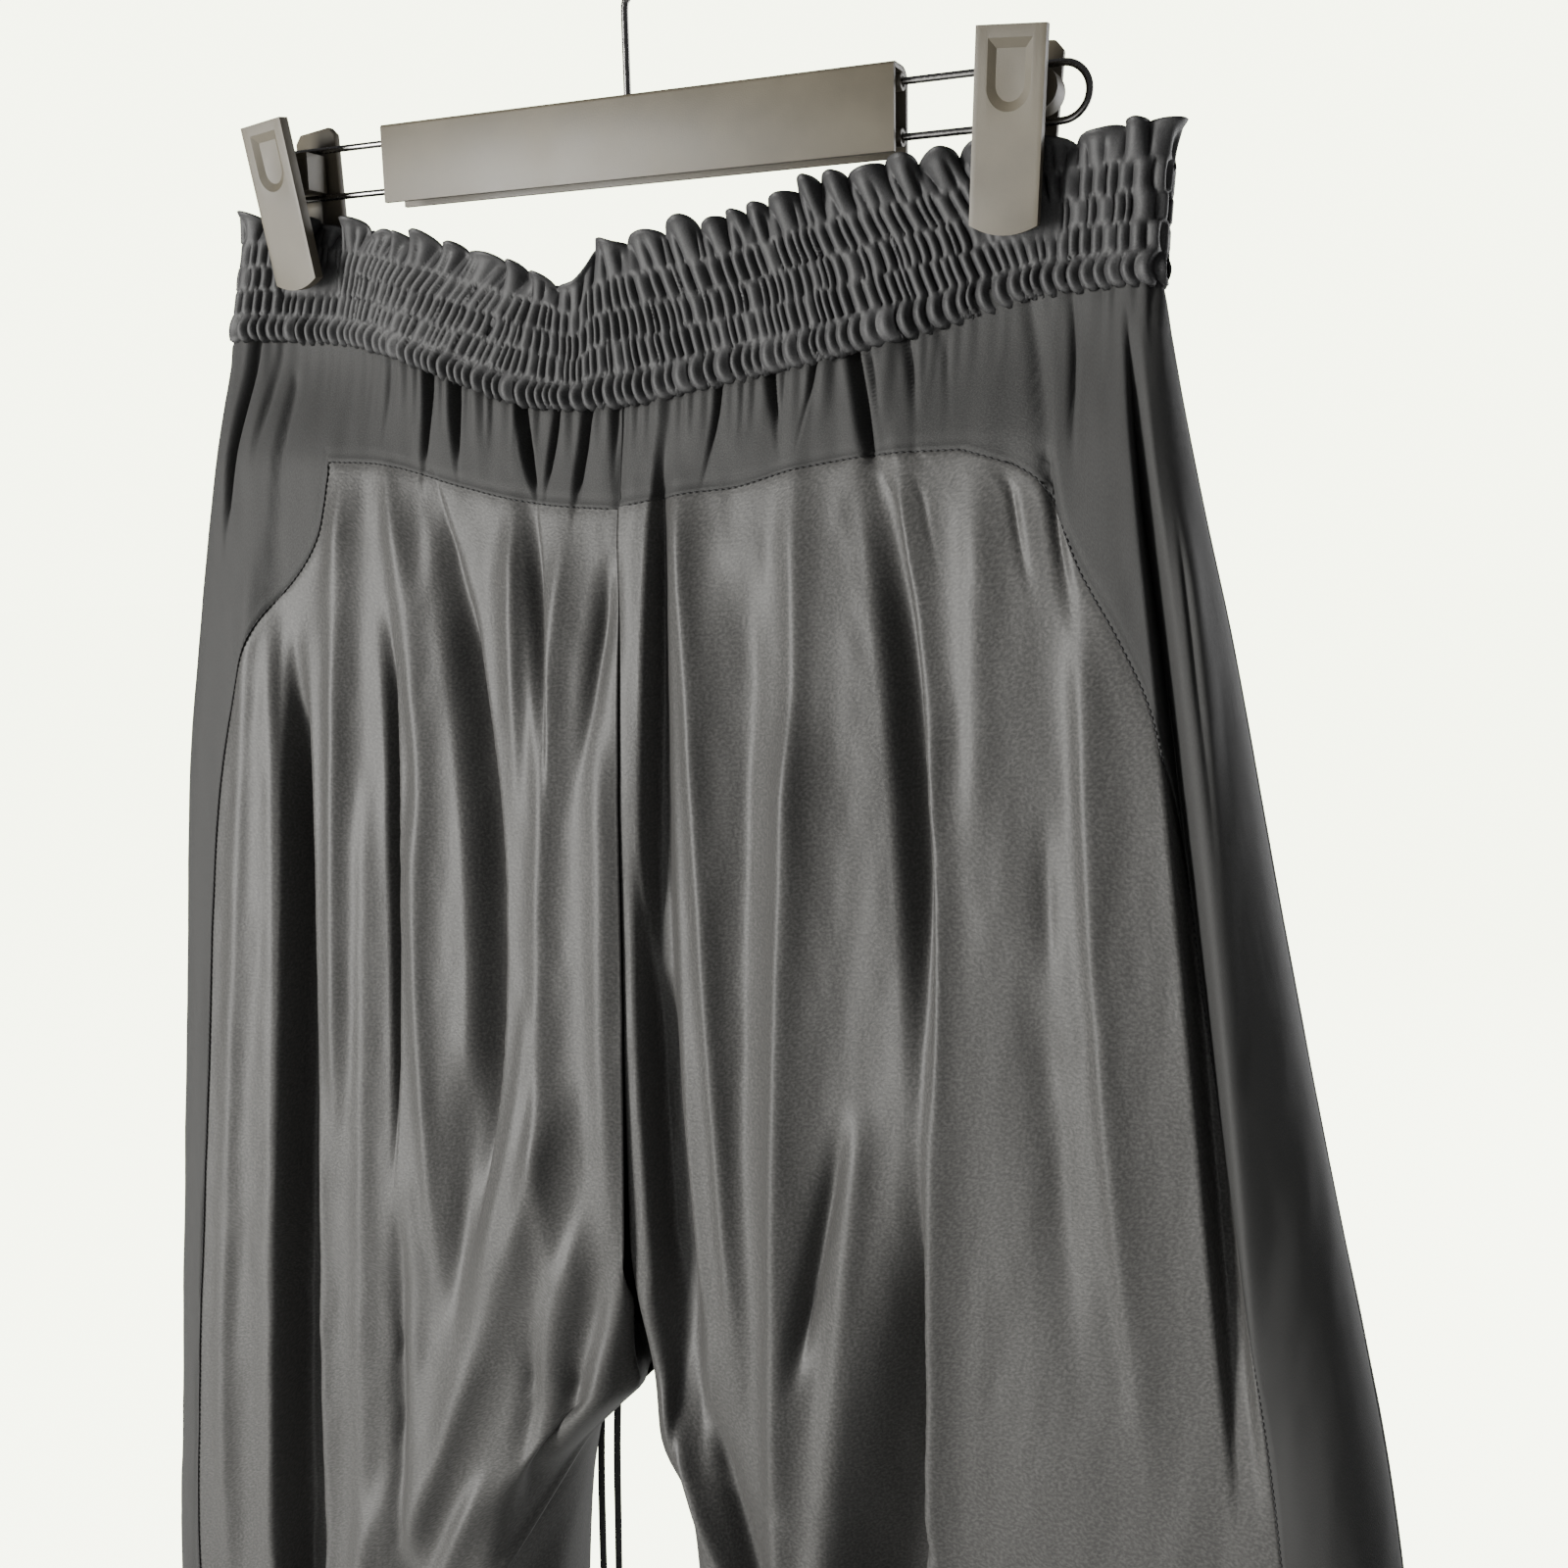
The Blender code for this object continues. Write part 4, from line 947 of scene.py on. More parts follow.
# %% Waistband
BAND_WALL, BAND_PROUD, BAND_TALL = 0.0006, 0.0026, 0.055
ROWS_OF_ELASTIC = [
    # foot, head, spacing, depth, curl, lean
    (0.000, 0.210, 0.0041, 0.0032, 0.0026, 0.8),
    (0.210, 0.393, 0.0032, 0.0030, 0.0003, 1.5),
    (0.393, 0.576, 0.0032, 0.0030, -0.0003, 1.5),
    (0.576, 0.765, 0.0038, 0.0032, 0.0004, 2.2),
]
FRILL_FOOT = ROWS_OF_ELASTIC[-1][1]
ROW_SEEDS, LOBE_SEED, PLEAT_SEED = (31, 30, 30, 32), 52, 33
WIDER_ENDS = 0.20
FOOT_DROOP, FOOT_ROLL, FOOT_OPEN = 0.0013, 0.0008, 0.75
LENS_LEAST, LENS_POWER, LENS_BY_SIZE = 0.12, 1.3, 0.8
# How a slit opens: the sharp part and the wide part of its depth
ROW_OPENING, FOOT_OPENING, SLIT_POWER, HOLLOW_POWER = (0.62, 0.48), (0.35, 0.78), 2.2, 3
LINE_DIP, LINE_HALF = 0.0005, 0.0006
LOBE_SPACING, LOBE_HIGH, LOBE_BACK, LOBE_LEAN = 0.0120, 0.0072, 0.0034, 1.2
LOBE_POWER, LOBE_SPREAD, LIP, LIP_FROM = 1.1, 0.9, 0.0010, 0.8
PLEAT_SPACING, PLEAT_DEEP, PLEAT_LEAN, PLEAT_SPREAD, PLEAT_FADE = 0.0042, 0.0026, 2, 0.8, 0.55
BOB_POWER, BOB_ENDS, BOB_ENDS_OVER = 1.5, 0.3, 0.030
BOB_HIGH, BOB_BACK, BOB_STRAY, BOB_STRAY_WIDE = 0.0030, 0.0020, 0.0022, 0.007
UNDER_CLIP, CLIP_DENT = 0.88, 0.0022
WAVE_HIGH, WAVE_WIDE, WAVE_RATE, WAVE_LAYER = 0.0010, 0.034, 0.6, 4
BAND_TUCK, BAND_TUCK_TO, LEAN_FADE = 0.0012, 0.020, 0.02
SLOPE_SPAN, SLOPE_MOST = 41, 0.5
BAND_FULLNESS = 1.9
BAND_GRID = {"back": (500, 44), "front": (260, 36)}
BAND_CUT = (0.540, 0.066)


def band_foot(face, half_columns):
    """The waistband's foot from side to side, the way along it and the way out."""
    share = np.linspace(0, 1, half_columns + 1)
    left, right = (skin(side, face, share, WAIST_FOOT, folded=False) for side in (-1, 1))
    foot = np.concatenate([left[::-1], right[1:]])
    tangent = np.gradient(foot, axis=0) * [1, 1, 0]
    tangent /= np.linalg.norm(tangent, axis=1, keepdims=True)
    return foot, tangent, np.stack([-tangent[:, 1], tangent[:, 0], 0 * tangent[:, 0]], 1) * face


def elastic_rows(face, up, s, tall, slope, free):
    """How far the cloth between the elastics stands out, slides to its slits and droops."""
    push, slide, droop = np.zeros_like(tall), np.zeros_like(tall), 0
    for k, (low, high, spacing, depth, curl, lean) in enumerate(ROWS_OF_ELASTIC):
        part = (up - low) / (high - low)
        inside_row = (part >= 0) & (part < 1)
        arch = np.sin(math.pi * np.clip(part, 0, 1))
        leaning = s + lean * slope * tall * (up - (low + high) / 2) - curl * (2 * part - 1) ** 2
        seed = ROW_SEEDS[k] + 7 * face
        place, wide, size = puckers(leaning, spacing, seed, WIDER_ENDS, k)
        crest = ridge(place)
        lens = LENS_LEAST + (1 - LENS_LEAST) * arch ** (LENS_POWER - LENS_BY_SIZE * size)
        slit, hollow = ROW_OPENING
        if k == 0:
            lens = np.where(part < 0.5, np.maximum(lens, FOOT_OPEN), lens)
            droop = -FOOT_DROOP * crest * size * (1 - ease(part / 0.5)) * free
            push = push + np.where(inside_row, FOOT_ROLL * arch, 0)
            slit, hollow = FOOT_OPENING
        opening = slit * (1 - crest) ** SLIT_POWER + hollow * (1 - crest**HOLLOW_POWER)
        sunk = depth * size * lens * opening
        if k > 0:
            sunk = sunk + LINE_DIP * bump(np.minimum(part, 1 - part) * (high - low) * BAND_TALL, LINE_HALF)
        push = np.where(inside_row, push - sunk * free, push)
        slide = np.where(inside_row, crowding(place, wide) * lens * free, slide)
    return push, slide, droop


def frill(face, up, s, tall, slope, free, x):
    """How far the free edge above the last elastic stands out, slides and bobs."""
    rise = np.clip((up - FRILL_FOOT) / (1 - FRILL_FOOT), 0, 1)
    above = slope * tall * (up - 1)
    place, wide, size = puckers(s + LOBE_LEAN * above, LOBE_SPACING, LOBE_SEED + face)
    small = puckers(s + PLEAT_LEAN * above, PLEAT_SPACING, PLEAT_SEED + 7 * face, WIDER_ENDS)
    small_place, small_wide, small_size = small
    lens = np.sin(math.pi * np.clip(rise * 1.1 + 0.02, 0, 1)) ** 0.7 * (1 - PLEAT_FADE * rise)
    pleats = PLEAT_DEEP * small_size * lens * (1 - ridge(small_place)) ** 2
    lobes = (LOBE_HIGH * ridge(place) * size - LOBE_BACK) * rise**LOBE_POWER
    lobes = lobes + LIP * ease((rise - LIP_FROM) / (1 - LIP_FROM))
    spread = LOBE_SPREAD * crowding(place, wide) * rise
    spread = spread + PLEAT_SPREAD * crowding(small_place, small_wide) * lens
    corner = BOB_ENDS + (1 - BOB_ENDS) * ease((outer_edge[1](0) - np.abs(x)) / BOB_ENDS_OVER)
    bob = BOB_HIGH * ridge(place) ** 0.5 * size - BOB_BACK + BOB_STRAY * rumple(s / BOB_STRAY_WIDE, 0 * s, 3)
    here = up >= FRILL_FOOT
    push, slide = np.where(here, (lobes - pleats) * free, 0), np.where(here, spread * free, 0)
    return push, slide, bob * rise**BOB_POWER * free * corner


def waistband(face_name, half_columns, rows):
    """Half of the waistband, from its foot to the frill's edge."""
    face = FACES[face_name]
    up = np.linspace(0, 1, rows + 1)[:, None]
    foot, tangent, normal = band_foot(face, half_columns)
    foot_x, foot_y, foot_z = foot.T
    levels = (WAIST_FOOT, WAIST_FOOT * (1 - up))
    at_foot, here = (np.where(foot_x < 0, outer_edge[-1](d), outer_edge[1](d)) for d in levels)
    x = foot_x * here / at_foot
    y = foot_y * pinch(x, WAIST_FOOT) / pinch(foot_x, WAIST_FOOT)
    s = np.concatenate([[0], np.cumsum(np.hypot(np.diff(foot_x), np.diff(foot_y)))])
    s = s - s[half_columns] + 0 * up
    tall = BAR_Z - reading(HEADING, 1 if face < 0 else 2)(x) - foot_z
    z = foot_z + tall * up
    free = 1 - UNDER_CLIP * pressed(x, BAR_Z - z)
    slope = np.pad(np.gradient(foot_z, foot_x + 1e-6 * np.arange(len(foot_x))), SLOPE_SPAN // 2, "edge")
    slope = np.clip(np.convolve(slope, np.ones(SLOPE_SPAN) / SLOPE_SPAN, "valid"), -SLOPE_MOST, SLOPE_MOST)
    slope = slope * ease((SIDE_ROUND_START - np.abs(foot_x)) / LEAN_FADE)
    waves = WAVE_HIGH * rumple(s / WAVE_WIDE, up * WAVE_RATE, WAVE_LAYER + (face > 0))
    push = BAND_PROUD + waves * free - CLIP_DENT * (1 - free)
    push = push - BAND_TUCK * ease((BAND_TUCK_TO - up) / BAND_TUCK_TO)
    row_push, row_slide, droop = elastic_rows(face, up, s, tall, slope, free)
    frill_push, frill_slide, bob = frill(face, up, s, tall, slope, free, x)
    push, slide = push + row_push + frill_push, row_slide + frill_slide
    points = np.stack([x + tangent[:, 0] * slide, y + tangent[:, 1] * slide, z + bob + droop], -1)
    points = points + normal * push[..., None]
    chart = np.stack([s * BAND_FULLNESS, lengths(points, 0)], -1)
    return cloth(f"shirred_band_{face_name}", points, BAND_WALL, chart, looking(face))


for face_name in FACES:
    piece = waistband(face_name, *BAND_GRID[face_name])
    garment(piece, f"waistband_{face_name}", BAND_CUT)

# %% [markdown]
# ## Ankle cuffs
# The leg ends in a gathered cuff with elastic inside. It is the waistband's way once more, on a
# closed ring.

# %% Cuffs
CUFF_TALL, CUFF_WALL, CUFF_HEAD = 0.040, 0.0010, 0.06
CUFF_ROWS = [
    # foot, head, spacing, height
    (0.00, 0.34, 0.0046, 0.0014),
    (0.34, 0.67, 0.0042, 0.0012),
    (0.67, 1.00, 0.0046, 0.0014),
]
CUFF_TUCK, CUFF_WAIST, CUFF_PROUD, CUFF_JOIN = 0.0030, 0.0020, 0.0006, 0.006
CUFF_FULLNESS, CUFF_ARCH, CUFF_LEAST, CUFF_SEED, CUFF_FIRST = 1.7, 0.7, 0.3, 70, 0.2
CUFF_GRID = (300, 26)
CUFF_CUT = (0.360, 0.046)


def cuff(side_name, columns, rows):
    """A ring of gathered cloth round the ankle."""
    side = SIDES[side_name]
    turn = np.linspace(0, 2, columns, endpoint=False)
    back = skin(side, -1, np.clip(turn, 0, 1), LEG_FOOT, folded=False)
    front = skin(side, 1, np.clip(2 - turn, 0, 1), LEG_FOOT, folded=False)
    ring = np.where((turn <= 1)[:, None], back, front)
    middle = ring.mean(0)
    tangent = np.roll(ring, -1, 0) - np.roll(ring, 1, 0)
    tangent /= np.linalg.norm(tangent, axis=1, keepdims=True)
    normal = np.stack([tangent[:, 1], -tangent[:, 0], 0 * tangent[:, 0]], 1)
    normal *= np.sign(((ring - middle) * normal).sum())
    s = np.concatenate([[0], np.cumsum(np.linalg.norm(np.diff(ring, axis=0), axis=1))])[None, :]
    down = np.linspace(-CUFF_HEAD, 1, rows + 1)[:, None]
    push = np.zeros((rows + 1, columns))
    for k, (low, high, spacing, height) in enumerate(CUFF_ROWS):
        part = (down - low) / (high - low)
        arch = np.sin(math.pi * np.clip(part, 0, 1)) ** CUFF_ARCH
        place, _, size = puckers(s - CUFF_FIRST + 0 * down, spacing, CUFF_SEED + k + 5 * side)
        seam_fade = ease(np.minimum(s, s[:, -1:] - s) / CUFF_JOIN)
        round_top = (CUFF_LEAST + (1 - CUFF_LEAST) * arch) * ridge(place) * size
        rise = height * round_top * seam_fade + arch * CUFF_PROUD
        push = np.where((part >= 0) & (part < 1), rise, push)
    push = push - CUFF_TUCK * ease(-down / CUFF_HEAD) - CUFF_WAIST * np.sin(math.pi * np.clip(down, 0, 1))
    z = ring[:, 2] - CUFF_TALL * down
    points = np.stack([ring[:, 0] + 0 * z, ring[:, 1] + 0 * z, z], -1) + normal * push[..., None]
    chart = np.stack([s * CUFF_FULLNESS + 0 * down, down * CUFF_TALL + 0 * s], -1)
    return cloth(f"cuff_{side_name}", points, CUFF_WALL, chart, lambda p: p - middle, closed=True)


for side_name in SIDES:
    garment(cuff(side_name, *CUFF_GRID), f"ankle_cuff_{side_name}", CUFF_CUT)

# %% [markdown]
# ## Stitches
# Black thread shows as short dashes along each seam, under the yokes and down the side panels.
# Its colour is set darker than the cloth, so it also paints the shade in the small valleys where
# each seam pulls open. One stitch is a stretched ball of a few faces, copied along the seam.

# %% Stitches
STITCH_PITCH, STITCH_LONG, STITCH_R = 0.0024, 0.0016, 0.00028
STITCH_RINGS = [
    # along, radius
    (0.00, 0.25),
    (0.18, 1.00),
    (0.82, 1.00),
    (1.00, 0.25),
]
STITCH_SIDES, SEAM_END, SEAM_STEPS = 5, 0.004, (120, 260)
THREAD_LIFT, THREAD_OVER = 0.0006, 0.0016


def stitches(side_name, face_name):
    """A row of stitches along one seam, all in one piece."""
    side, face = SIDES[side_name], FACES[face_name]
    shares, drops = seam_line(side, face, *SEAM_STEPS)
    line, over = (skin(side, face, shares, drops, lift) for lift in (THREAD_LIFT, THREAD_OVER))
    far = np.concatenate([[0], np.cumsum(np.linalg.norm(np.diff(line, axis=0), axis=1))])

    def at(where, route):
        return np.array([np.interp(where, far, route[:, k]) for k in range(3)])

    points, faces = [], []
    for start in np.arange(SEAM_END, far[-1] - SEAM_END, STITCH_PITCH):
        a, b, out = at(start, line), at(start + STITCH_LONG, line), at(start, over - line)
        out /= np.linalg.norm(out)
        wide = np.cross((b - a) / np.linalg.norm(b - a), out)
        faces += tube_faces(len(STITCH_RINGS), STITCH_SIDES, len(points))
        for t, r in STITCH_RINGS:
            for angle in np.linspace(0, 2 * math.pi, STITCH_SIDES, endpoint=False):
                round_about = out * math.cos(angle) + wide * math.sin(angle)
                points.append(a + (b - a) * t + round_about * STITCH_R * r)
    made = mesh_piece(f"stitches_{face_name}_{side_name}", points, faces)
    bm = bmesh.new()
    bm.from_mesh(made.data)
    bmesh.ops.recalc_face_normals(bm, faces=bm.faces)
    bm.to_mesh(made.data)
    bm.free()
    return belongs(made)


for side_name in SIDES:
    for face_name in FACES:
        piece = stitches(side_name, face_name)
        print(piece.name, len(piece.data.vertices) // (len(STITCH_RINGS) * STITCH_SIDES))

# %% [markdown]
# ## The hanger's wires and hook
# Two steel wires run through the bar and turn back on themselves at each end, so they are one
# closed loop. The hook is a straight shank with a bend into a round. Both are curves with a
# round bevel, made a mesh once their path is right.

# %% Wires
WIRE_R, RAIL_GAP, WIRE_REACH = 0.0012, 0.0172, 0.163
HOOK_R, HOOK_WIRE_R, HOOK_STEP = 0.021, 0.0013, 0.0015
HOOK_START, HOOK_TIP, HOOK_SHANK, HOOK_TAPER = -55, 205, 0.030, 0.6
SHANK_TURN = [
    # across, up: shares of the way from the shank to the round
    (0.02, 0.05),
    (0.10, 0.28),
    (0.30, 0.54),
    (0.62, 0.79),
]
LOOP_STEPS, HOOK_STEPS = 28, 30
SHANK_HEIGHTS = (-0.003, 0.012, HOOK_SHANK - 0.004)
SAME_PLACE = 0.00002


def alone(made):
    """Selects one piece and nothing else, and makes it the active one."""
    bpy.ops.object.select_all(action="DESELECT")
    made.select_set(True)
    bpy.context.view_layer.objects.active = made


def wire(name, node, points, radius, closed, ends=1.0):
    """A round wire along a path, narrowed at its two ends, as a mesh."""
    curve = bpy.data.curves.new(name, "CURVE")
    curve.dimensions = "3D"
    curve.bevel_depth, curve.bevel_resolution = radius, 4
    curve.use_fill_caps = not closed
    spline = curve.splines.new("POLY")
    spline.points.add(len(points) - 1)
    for place, point in zip(spline.points, points):
        place.co = (*point, 1.0)
    spline.points[0].radius = spline.points[-1].radius = ends
    spline.use_cyclic_u = closed
    alone(new_object(name, curve))
    bpy.ops.object.convert(target="MESH")
    made = bpy.context.view_layer.objects.active
    bpy.ops.object.mode_set(mode="EDIT")
    bpy.ops.mesh.select_all(action="SELECT")
    bpy.ops.mesh.remove_doubles(threshold=SAME_PLACE)
    bpy.ops.mesh.normals_make_consistent(inside=False)
    bpy.ops.object.mode_set(mode="OBJECT")
    bpy.ops.object.shade_smooth_by_angle(angle=math.radians(50))
    made.select_set(False)
    return belongs(made, node)


def turn_points(x, z, radius, start, end, steps):
    """Points on part of a circle, from one angle to another."""
    angles = np.radians(np.linspace(start, end, steps + 1))
    return [(x + radius * math.cos(t), 0.0, z + radius * math.sin(t)) for t in angles]


loop_at = WIRE_REACH - RAIL_GAP / 2
loop = turn_points(loop_at, BAR_Z, RAIL_GAP / 2, -90, 90, LOOP_STEPS)
loop += turn_points(-loop_at, BAR_Z, RAIL_GAP / 2, 90, 270, LOOP_STEPS)
wire("steel_wires", "hanger_wires", loop, WIRE_R, True)

hook_middle = -(HOOK_R - HOOK_WIRE_R)
knee = bar_high.z + HOOK_SHANK
round_part = turn_points(0, hook_middle, HOOK_R, HOOK_START, HOOK_TIP, HOOK_STEPS)
join_x, _, join_z = round_part[0]
bends = [(0, 0, bar_high.z + up) for up in SHANK_HEIGHTS]
bends += [(join_x * a, 0, knee + (join_z - knee) * b) for a, b in SHANK_TURN]
hook_route, hook_length = smooth_route(bends + round_part, HOOK_STEP)
wire("steel_hook", "hanger_hook", [tuple(p) for p in hook_route], HOOK_WIRE_R, False, HOOK_TAPER)
print("hook wire", round(hook_length, 3), "m")

# %% [markdown]
# ## The plastic bar
# The bar is a moulded channel: a front, a rounded top and a back, open underneath. It starts as
# a cube whose underside and ends are deleted, its top edges are bevelled, and Solidify gives
# the wall. Small bosses hold the wires where they leave each end, and four webs join the walls.

# %% Bar
BAR_WALL, TOUCH = 0.0018, 1e-4
BACK_ROUND, FRONT_ROUND = (0.0052, 6), (0.0014, 3)
BOSS_R, BOSS_LONG, BOSS_IN = 0.0030, 0.0060, 0.0022
WEB_SIZE, WEB_SHIFT = (0.0022, 0.0106, 0.0200), (0.0001, 0.0012)
WEB_PLACES = (0.091, 0.030, -0.030, -0.091)
RIM_WIDE, RIM_IN, CUP_DEEP = 0.0014, 0.0002, 0.0006
FACING = 0.9


def begin(name):
    """Names the primitive that was just added."""
    made = bpy.context.view_layer.objects.active
    made.name = made.data.name = name
    return made


def settle():
    """Puts the selected piece's place, turn and size into its mesh."""
    bpy.ops.object.transform_apply(location=True, rotation=True, scale=True)


def apply_all(made):
    alone(made)
    settle()
    for modifier in list(made.modifiers):
        bpy.ops.object.modifier_apply(modifier=modifier.name)


def block(name, size, where=(0, 0, 0)):
    bpy.ops.mesh.primitive_cube_add(size=1, location=where)
    made = begin(name)
    made.scale = size
    settle()
    return made


def pick(made, kind, test):
    """Selects the faces or edges that pass a test, in edit mode."""
    bpy.context.view_layer.objects.active = made
    bpy.ops.object.mode_set(mode="EDIT")
    bpy.ops.mesh.select_mode(type=kind)
    bpy.ops.mesh.select_all(action="DESELECT")
    bm = bmesh.from_edit_mesh(made.data)
    for item in bm.edges if kind == "EDGE" else bm.faces:
        if test(item):
            item.select_set(True)
    bm.select_flush_mode()
    bmesh.update_edit_mesh(made.data)


def leave_edit():
    bpy.ops.object.mode_set(mode="OBJECT")
    bpy.ops.object.select_all(action="DESELECT")


def close_up():
    """Turns every face of the mesh in hand outwards, and leaves edit mode."""
    bpy.ops.mesh.select_all(action="SELECT")
    bpy.ops.mesh.normals_make_consistent(inside=False)
    leave_edit()


def rounded(made, width, segments=2, angle=35):
    """Rounds the sharp edges, applies what is pending and smooths the shading."""
    bevel = made.modifiers.new("edges", "BEVEL")
    bevel.width, bevel.segments = width, segments
    bevel.limit_method, bevel.angle_limit = "ANGLE", math.radians(angle)
    apply_all(made)
    bpy.ops.object.shade_smooth_by_angle(angle=math.radians(40))
    made.select_set(False)
    return made


def long_top_edge(edge, side):
    """True for the bar's long top edge at its back (1) or its front (-1)."""
    a, b = (v.co for v in edge.verts)
    return abs(a.x - b.x) > 0.1 and all(p.z > bar_high.z - TOUCH and p.y * side > 0 for p in (a, b))


bar = block("plastic_bar", bar_high - bar_low, (0, 0, BAR_Z))
pick(bar, "FACE", lambda f: f.normal.z < -FACING or abs(f.normal.x) > FACING)
bpy.ops.mesh.delete(type="FACE")
for side, (offset, segments) in ((1, BACK_ROUND), (-1, FRONT_ROUND)):
    pick(bar, "EDGE", lambda e: long_top_edge(e, side))
    bpy.ops.mesh.bevel(offset=offset, segments=segments, affect="EDGES")
leave_edit()
wall = bar.modifiers.new("wall", "SOLIDIFY")
wall.thickness, wall.offset = BAR_WALL, -1
apply_all(bar)
belongs(rounded(bar, 0.0005), "hanger_bar")
print("bar", len(bar.data.polygons), "faces")

for end_name, end in SIDES.items():
    for row_name, row in (("low", -1), ("high", 1)):
        at = (end * (bar_high.x - BOSS_IN), 0, BAR_Z + row * RAIL_GAP / 2)
        turned = (0, math.pi / 2, 0)
        bpy.ops.mesh.primitive_cylinder_add(
            vertices=28, radius=BOSS_R, depth=BOSS_LONG, location=at, rotation=turned
        )
        boss = begin(f"wire_boss_{end_name}_{row_name}")
        apply_all(boss)
        pick(boss, "FACE", lambda f: f.normal.x * end > FACING)
        bpy.ops.mesh.inset(thickness=RIM_WIDE, depth=0)
        bpy.ops.mesh.inset(thickness=RIM_IN, depth=-CUP_DEEP)
        leave_edit()
        belongs(rounded(boss, 0.0005, 2, 50))

webs = [block("bar_webs", WEB_SIZE, (x, WEB_SHIFT[0], BAR_Z + WEB_SHIFT[1])) for x in WEB_PLACES]
alone(webs[0])
for web in webs:
    web.select_set(True)
bpy.ops.object.join()
belongs(rounded(webs[0], 0.0003, 1))
print("webs", len(WEB_PLACES))

# %% [markdown]
# ## The clips
# Each clip is two plates on a spring. The front plate is a long thumb plate with a rounded foot
# and a dished pad near its top. The dish is cut by a Boolean with a shape like a loaf: a circle
# whose upper half is pulled straight, then drawn narrower as it goes deeper.

# %% Clips
PLATE_TALL, PLATE_THICK, PLATE_ROUND = 0.0605, 0.0040, 0.0030
BACK_SIZE, BACK_CORNER = (CLIP_WIDE, 0.0030, 0.0590), 0.0030
DISH_R, DISH_DEEP, DISH_PROUD, DISH_WIDER = 0.0088, 0.0028, 0.0012, 1.4
DISH_FOOT, DISH_MIDDLE, DISH_HEAD = (PLATE_TALL / 2 - down for down in (0.0180, 0.0140, 0.0016))
DISH_FLOOR = (0.52, 1, 0.60)
PANEL_RIM, PANEL_DEEP, PIN_RIM, PIN_DEEP, SPRING_AT = 0.0018, 0.0007, 0.0016, 0.0008, -0.0040
SPRING_R, SPRING_DEEP, SPRING_OUT, SPRING_IN = 0.0068, 0.0105, 0.0068, 0.0075
FRONT_AT, BACK_AT = (0, -0.0164, -0.0135), (0, 0.0062, -0.0120)
FRONT_TIP, BACK_TIP, CLIP_LEAN = math.radians(8), math.radians(-1.5), math.radians(4)
CLIP_TURN = {"left": math.radians(-9), "right": math.radians(2)}
UPRIGHT = (math.pi / 2, 0, 0)


def thumb_plate(name):
    """The front plate, standing in the XZ plane with its outer face towards -Y."""
    bpy.ops.mesh.primitive_grid_add(x_subdivisions=14, y_subdivisions=4, size=1, rotation=UPRIGHT)
    plate = begin(name)
    plate.scale = (CLIP_WIDE, PLATE_TALL, 1)
    settle()
    for v in plate.data.vertices:
        if v.co.z < -PLATE_TALL * 0.49:
            v.co.z += PLATE_ROUND * (v.co.x / (CLIP_WIDE / 2)) ** 2
    pick(plate, "FACE", lambda f: True)
    bpy.ops.mesh.extrude_region_move(TRANSFORM_OT_translate={"value": (0, PLATE_THICK, 0)})
    close_up()
    at = (0, -DISH_PROUD, DISH_FOOT)
    bpy.ops.mesh.primitive_circle_add(
        vertices=40, radius=DISH_R, fill_type="NGON", location=at, rotation=UPRIGHT
    )
    dish = begin("dish_cutter")
    settle()
    for v in dish.data.vertices:
        if v.co.z > DISH_FOOT - TOUCH / 10:
            v.co.z = DISH_HEAD
            v.co.x = math.copysign(min(abs(v.co.x) * DISH_WIDER, DISH_R), v.co.x)
    pick(dish, "FACE", lambda f: True)
    bpy.ops.mesh.extrude_region_move(TRANSFORM_OT_translate={"value": (0, DISH_DEEP, 0)})
    bpy.ops.transform.resize(value=DISH_FLOOR, center_override=(0, 0, DISH_MIDDLE))
    bpy.ops.mesh.select_all(action="SELECT")
    bpy.ops.mesh.remove_doubles(threshold=SAME_PLACE)
    close_up()
    cut = plate.modifiers.new("dish", "BOOLEAN")
    cut.operation, cut.object = "DIFFERENCE", dish
    apply_all(plate)
    bpy.data.objects.remove(dish, do_unlink=True)
    return rounded(plate, 0.0007, 3, 24)


def stand(made, side_name, where, tip):
    """Tips a plate, leans its head outwards, turns it a little and moves it to its clip."""
    side = SIDES[side_name]
    turn = Matrix.Rotation(CLIP_TURN[side_name], 4, "Z")
    place = Matrix.Translation((side * CLIP_AT, 0, BAR_Z)) @ turn @ Matrix.Rotation(side * CLIP_LEAN, 4, "Y")
    made.matrix_world = place @ Matrix.Translation(where) @ Matrix.Rotation(tip, 4, "X")
    bpy.context.view_layer.update()
    apply_all(made)
    made.select_set(False)
    return made


def back_plate(name):
    """A plain plate with its two upper corners cut off and a sunk panel on its outer face."""
    plate = block(name, BACK_SIZE)
    pick(plate, "EDGE", lambda e: min(v.co.z for v in e.verts) > 0 and e.calc_length() < CLIP_WIDE / 2)
    bpy.ops.mesh.bevel(offset=BACK_CORNER, segments=1, affect="EDGES")
    pick(plate, "FACE", lambda f: f.normal.y > FACING)
    bpy.ops.mesh.inset(thickness=PANEL_RIM, depth=-PANEL_DEEP)
    leave_edit()
    return rounded(plate, 0.0006)


def spring_box(name, side):
    """The round-ended block between the wires, with the spring's pin through it."""
    bpy.ops.mesh.primitive_cylinder_add(vertices=40, radius=SPRING_R, depth=SPRING_DEEP, rotation=UPRIGHT)
    box = begin(name)
    settle()
    for v in box.data.vertices:
        v.co.x = v.co.x + side * SPRING_OUT if v.co.x * side > 0 else side * -SPRING_IN
    pick(box, "FACE", lambda f: f.normal.y < -FACING)
    bpy.ops.mesh.inset(thickness=PIN_RIM, depth=-PIN_DEEP)
    leave_edit()
    return rounded(box, 0.0006, 2, 50)


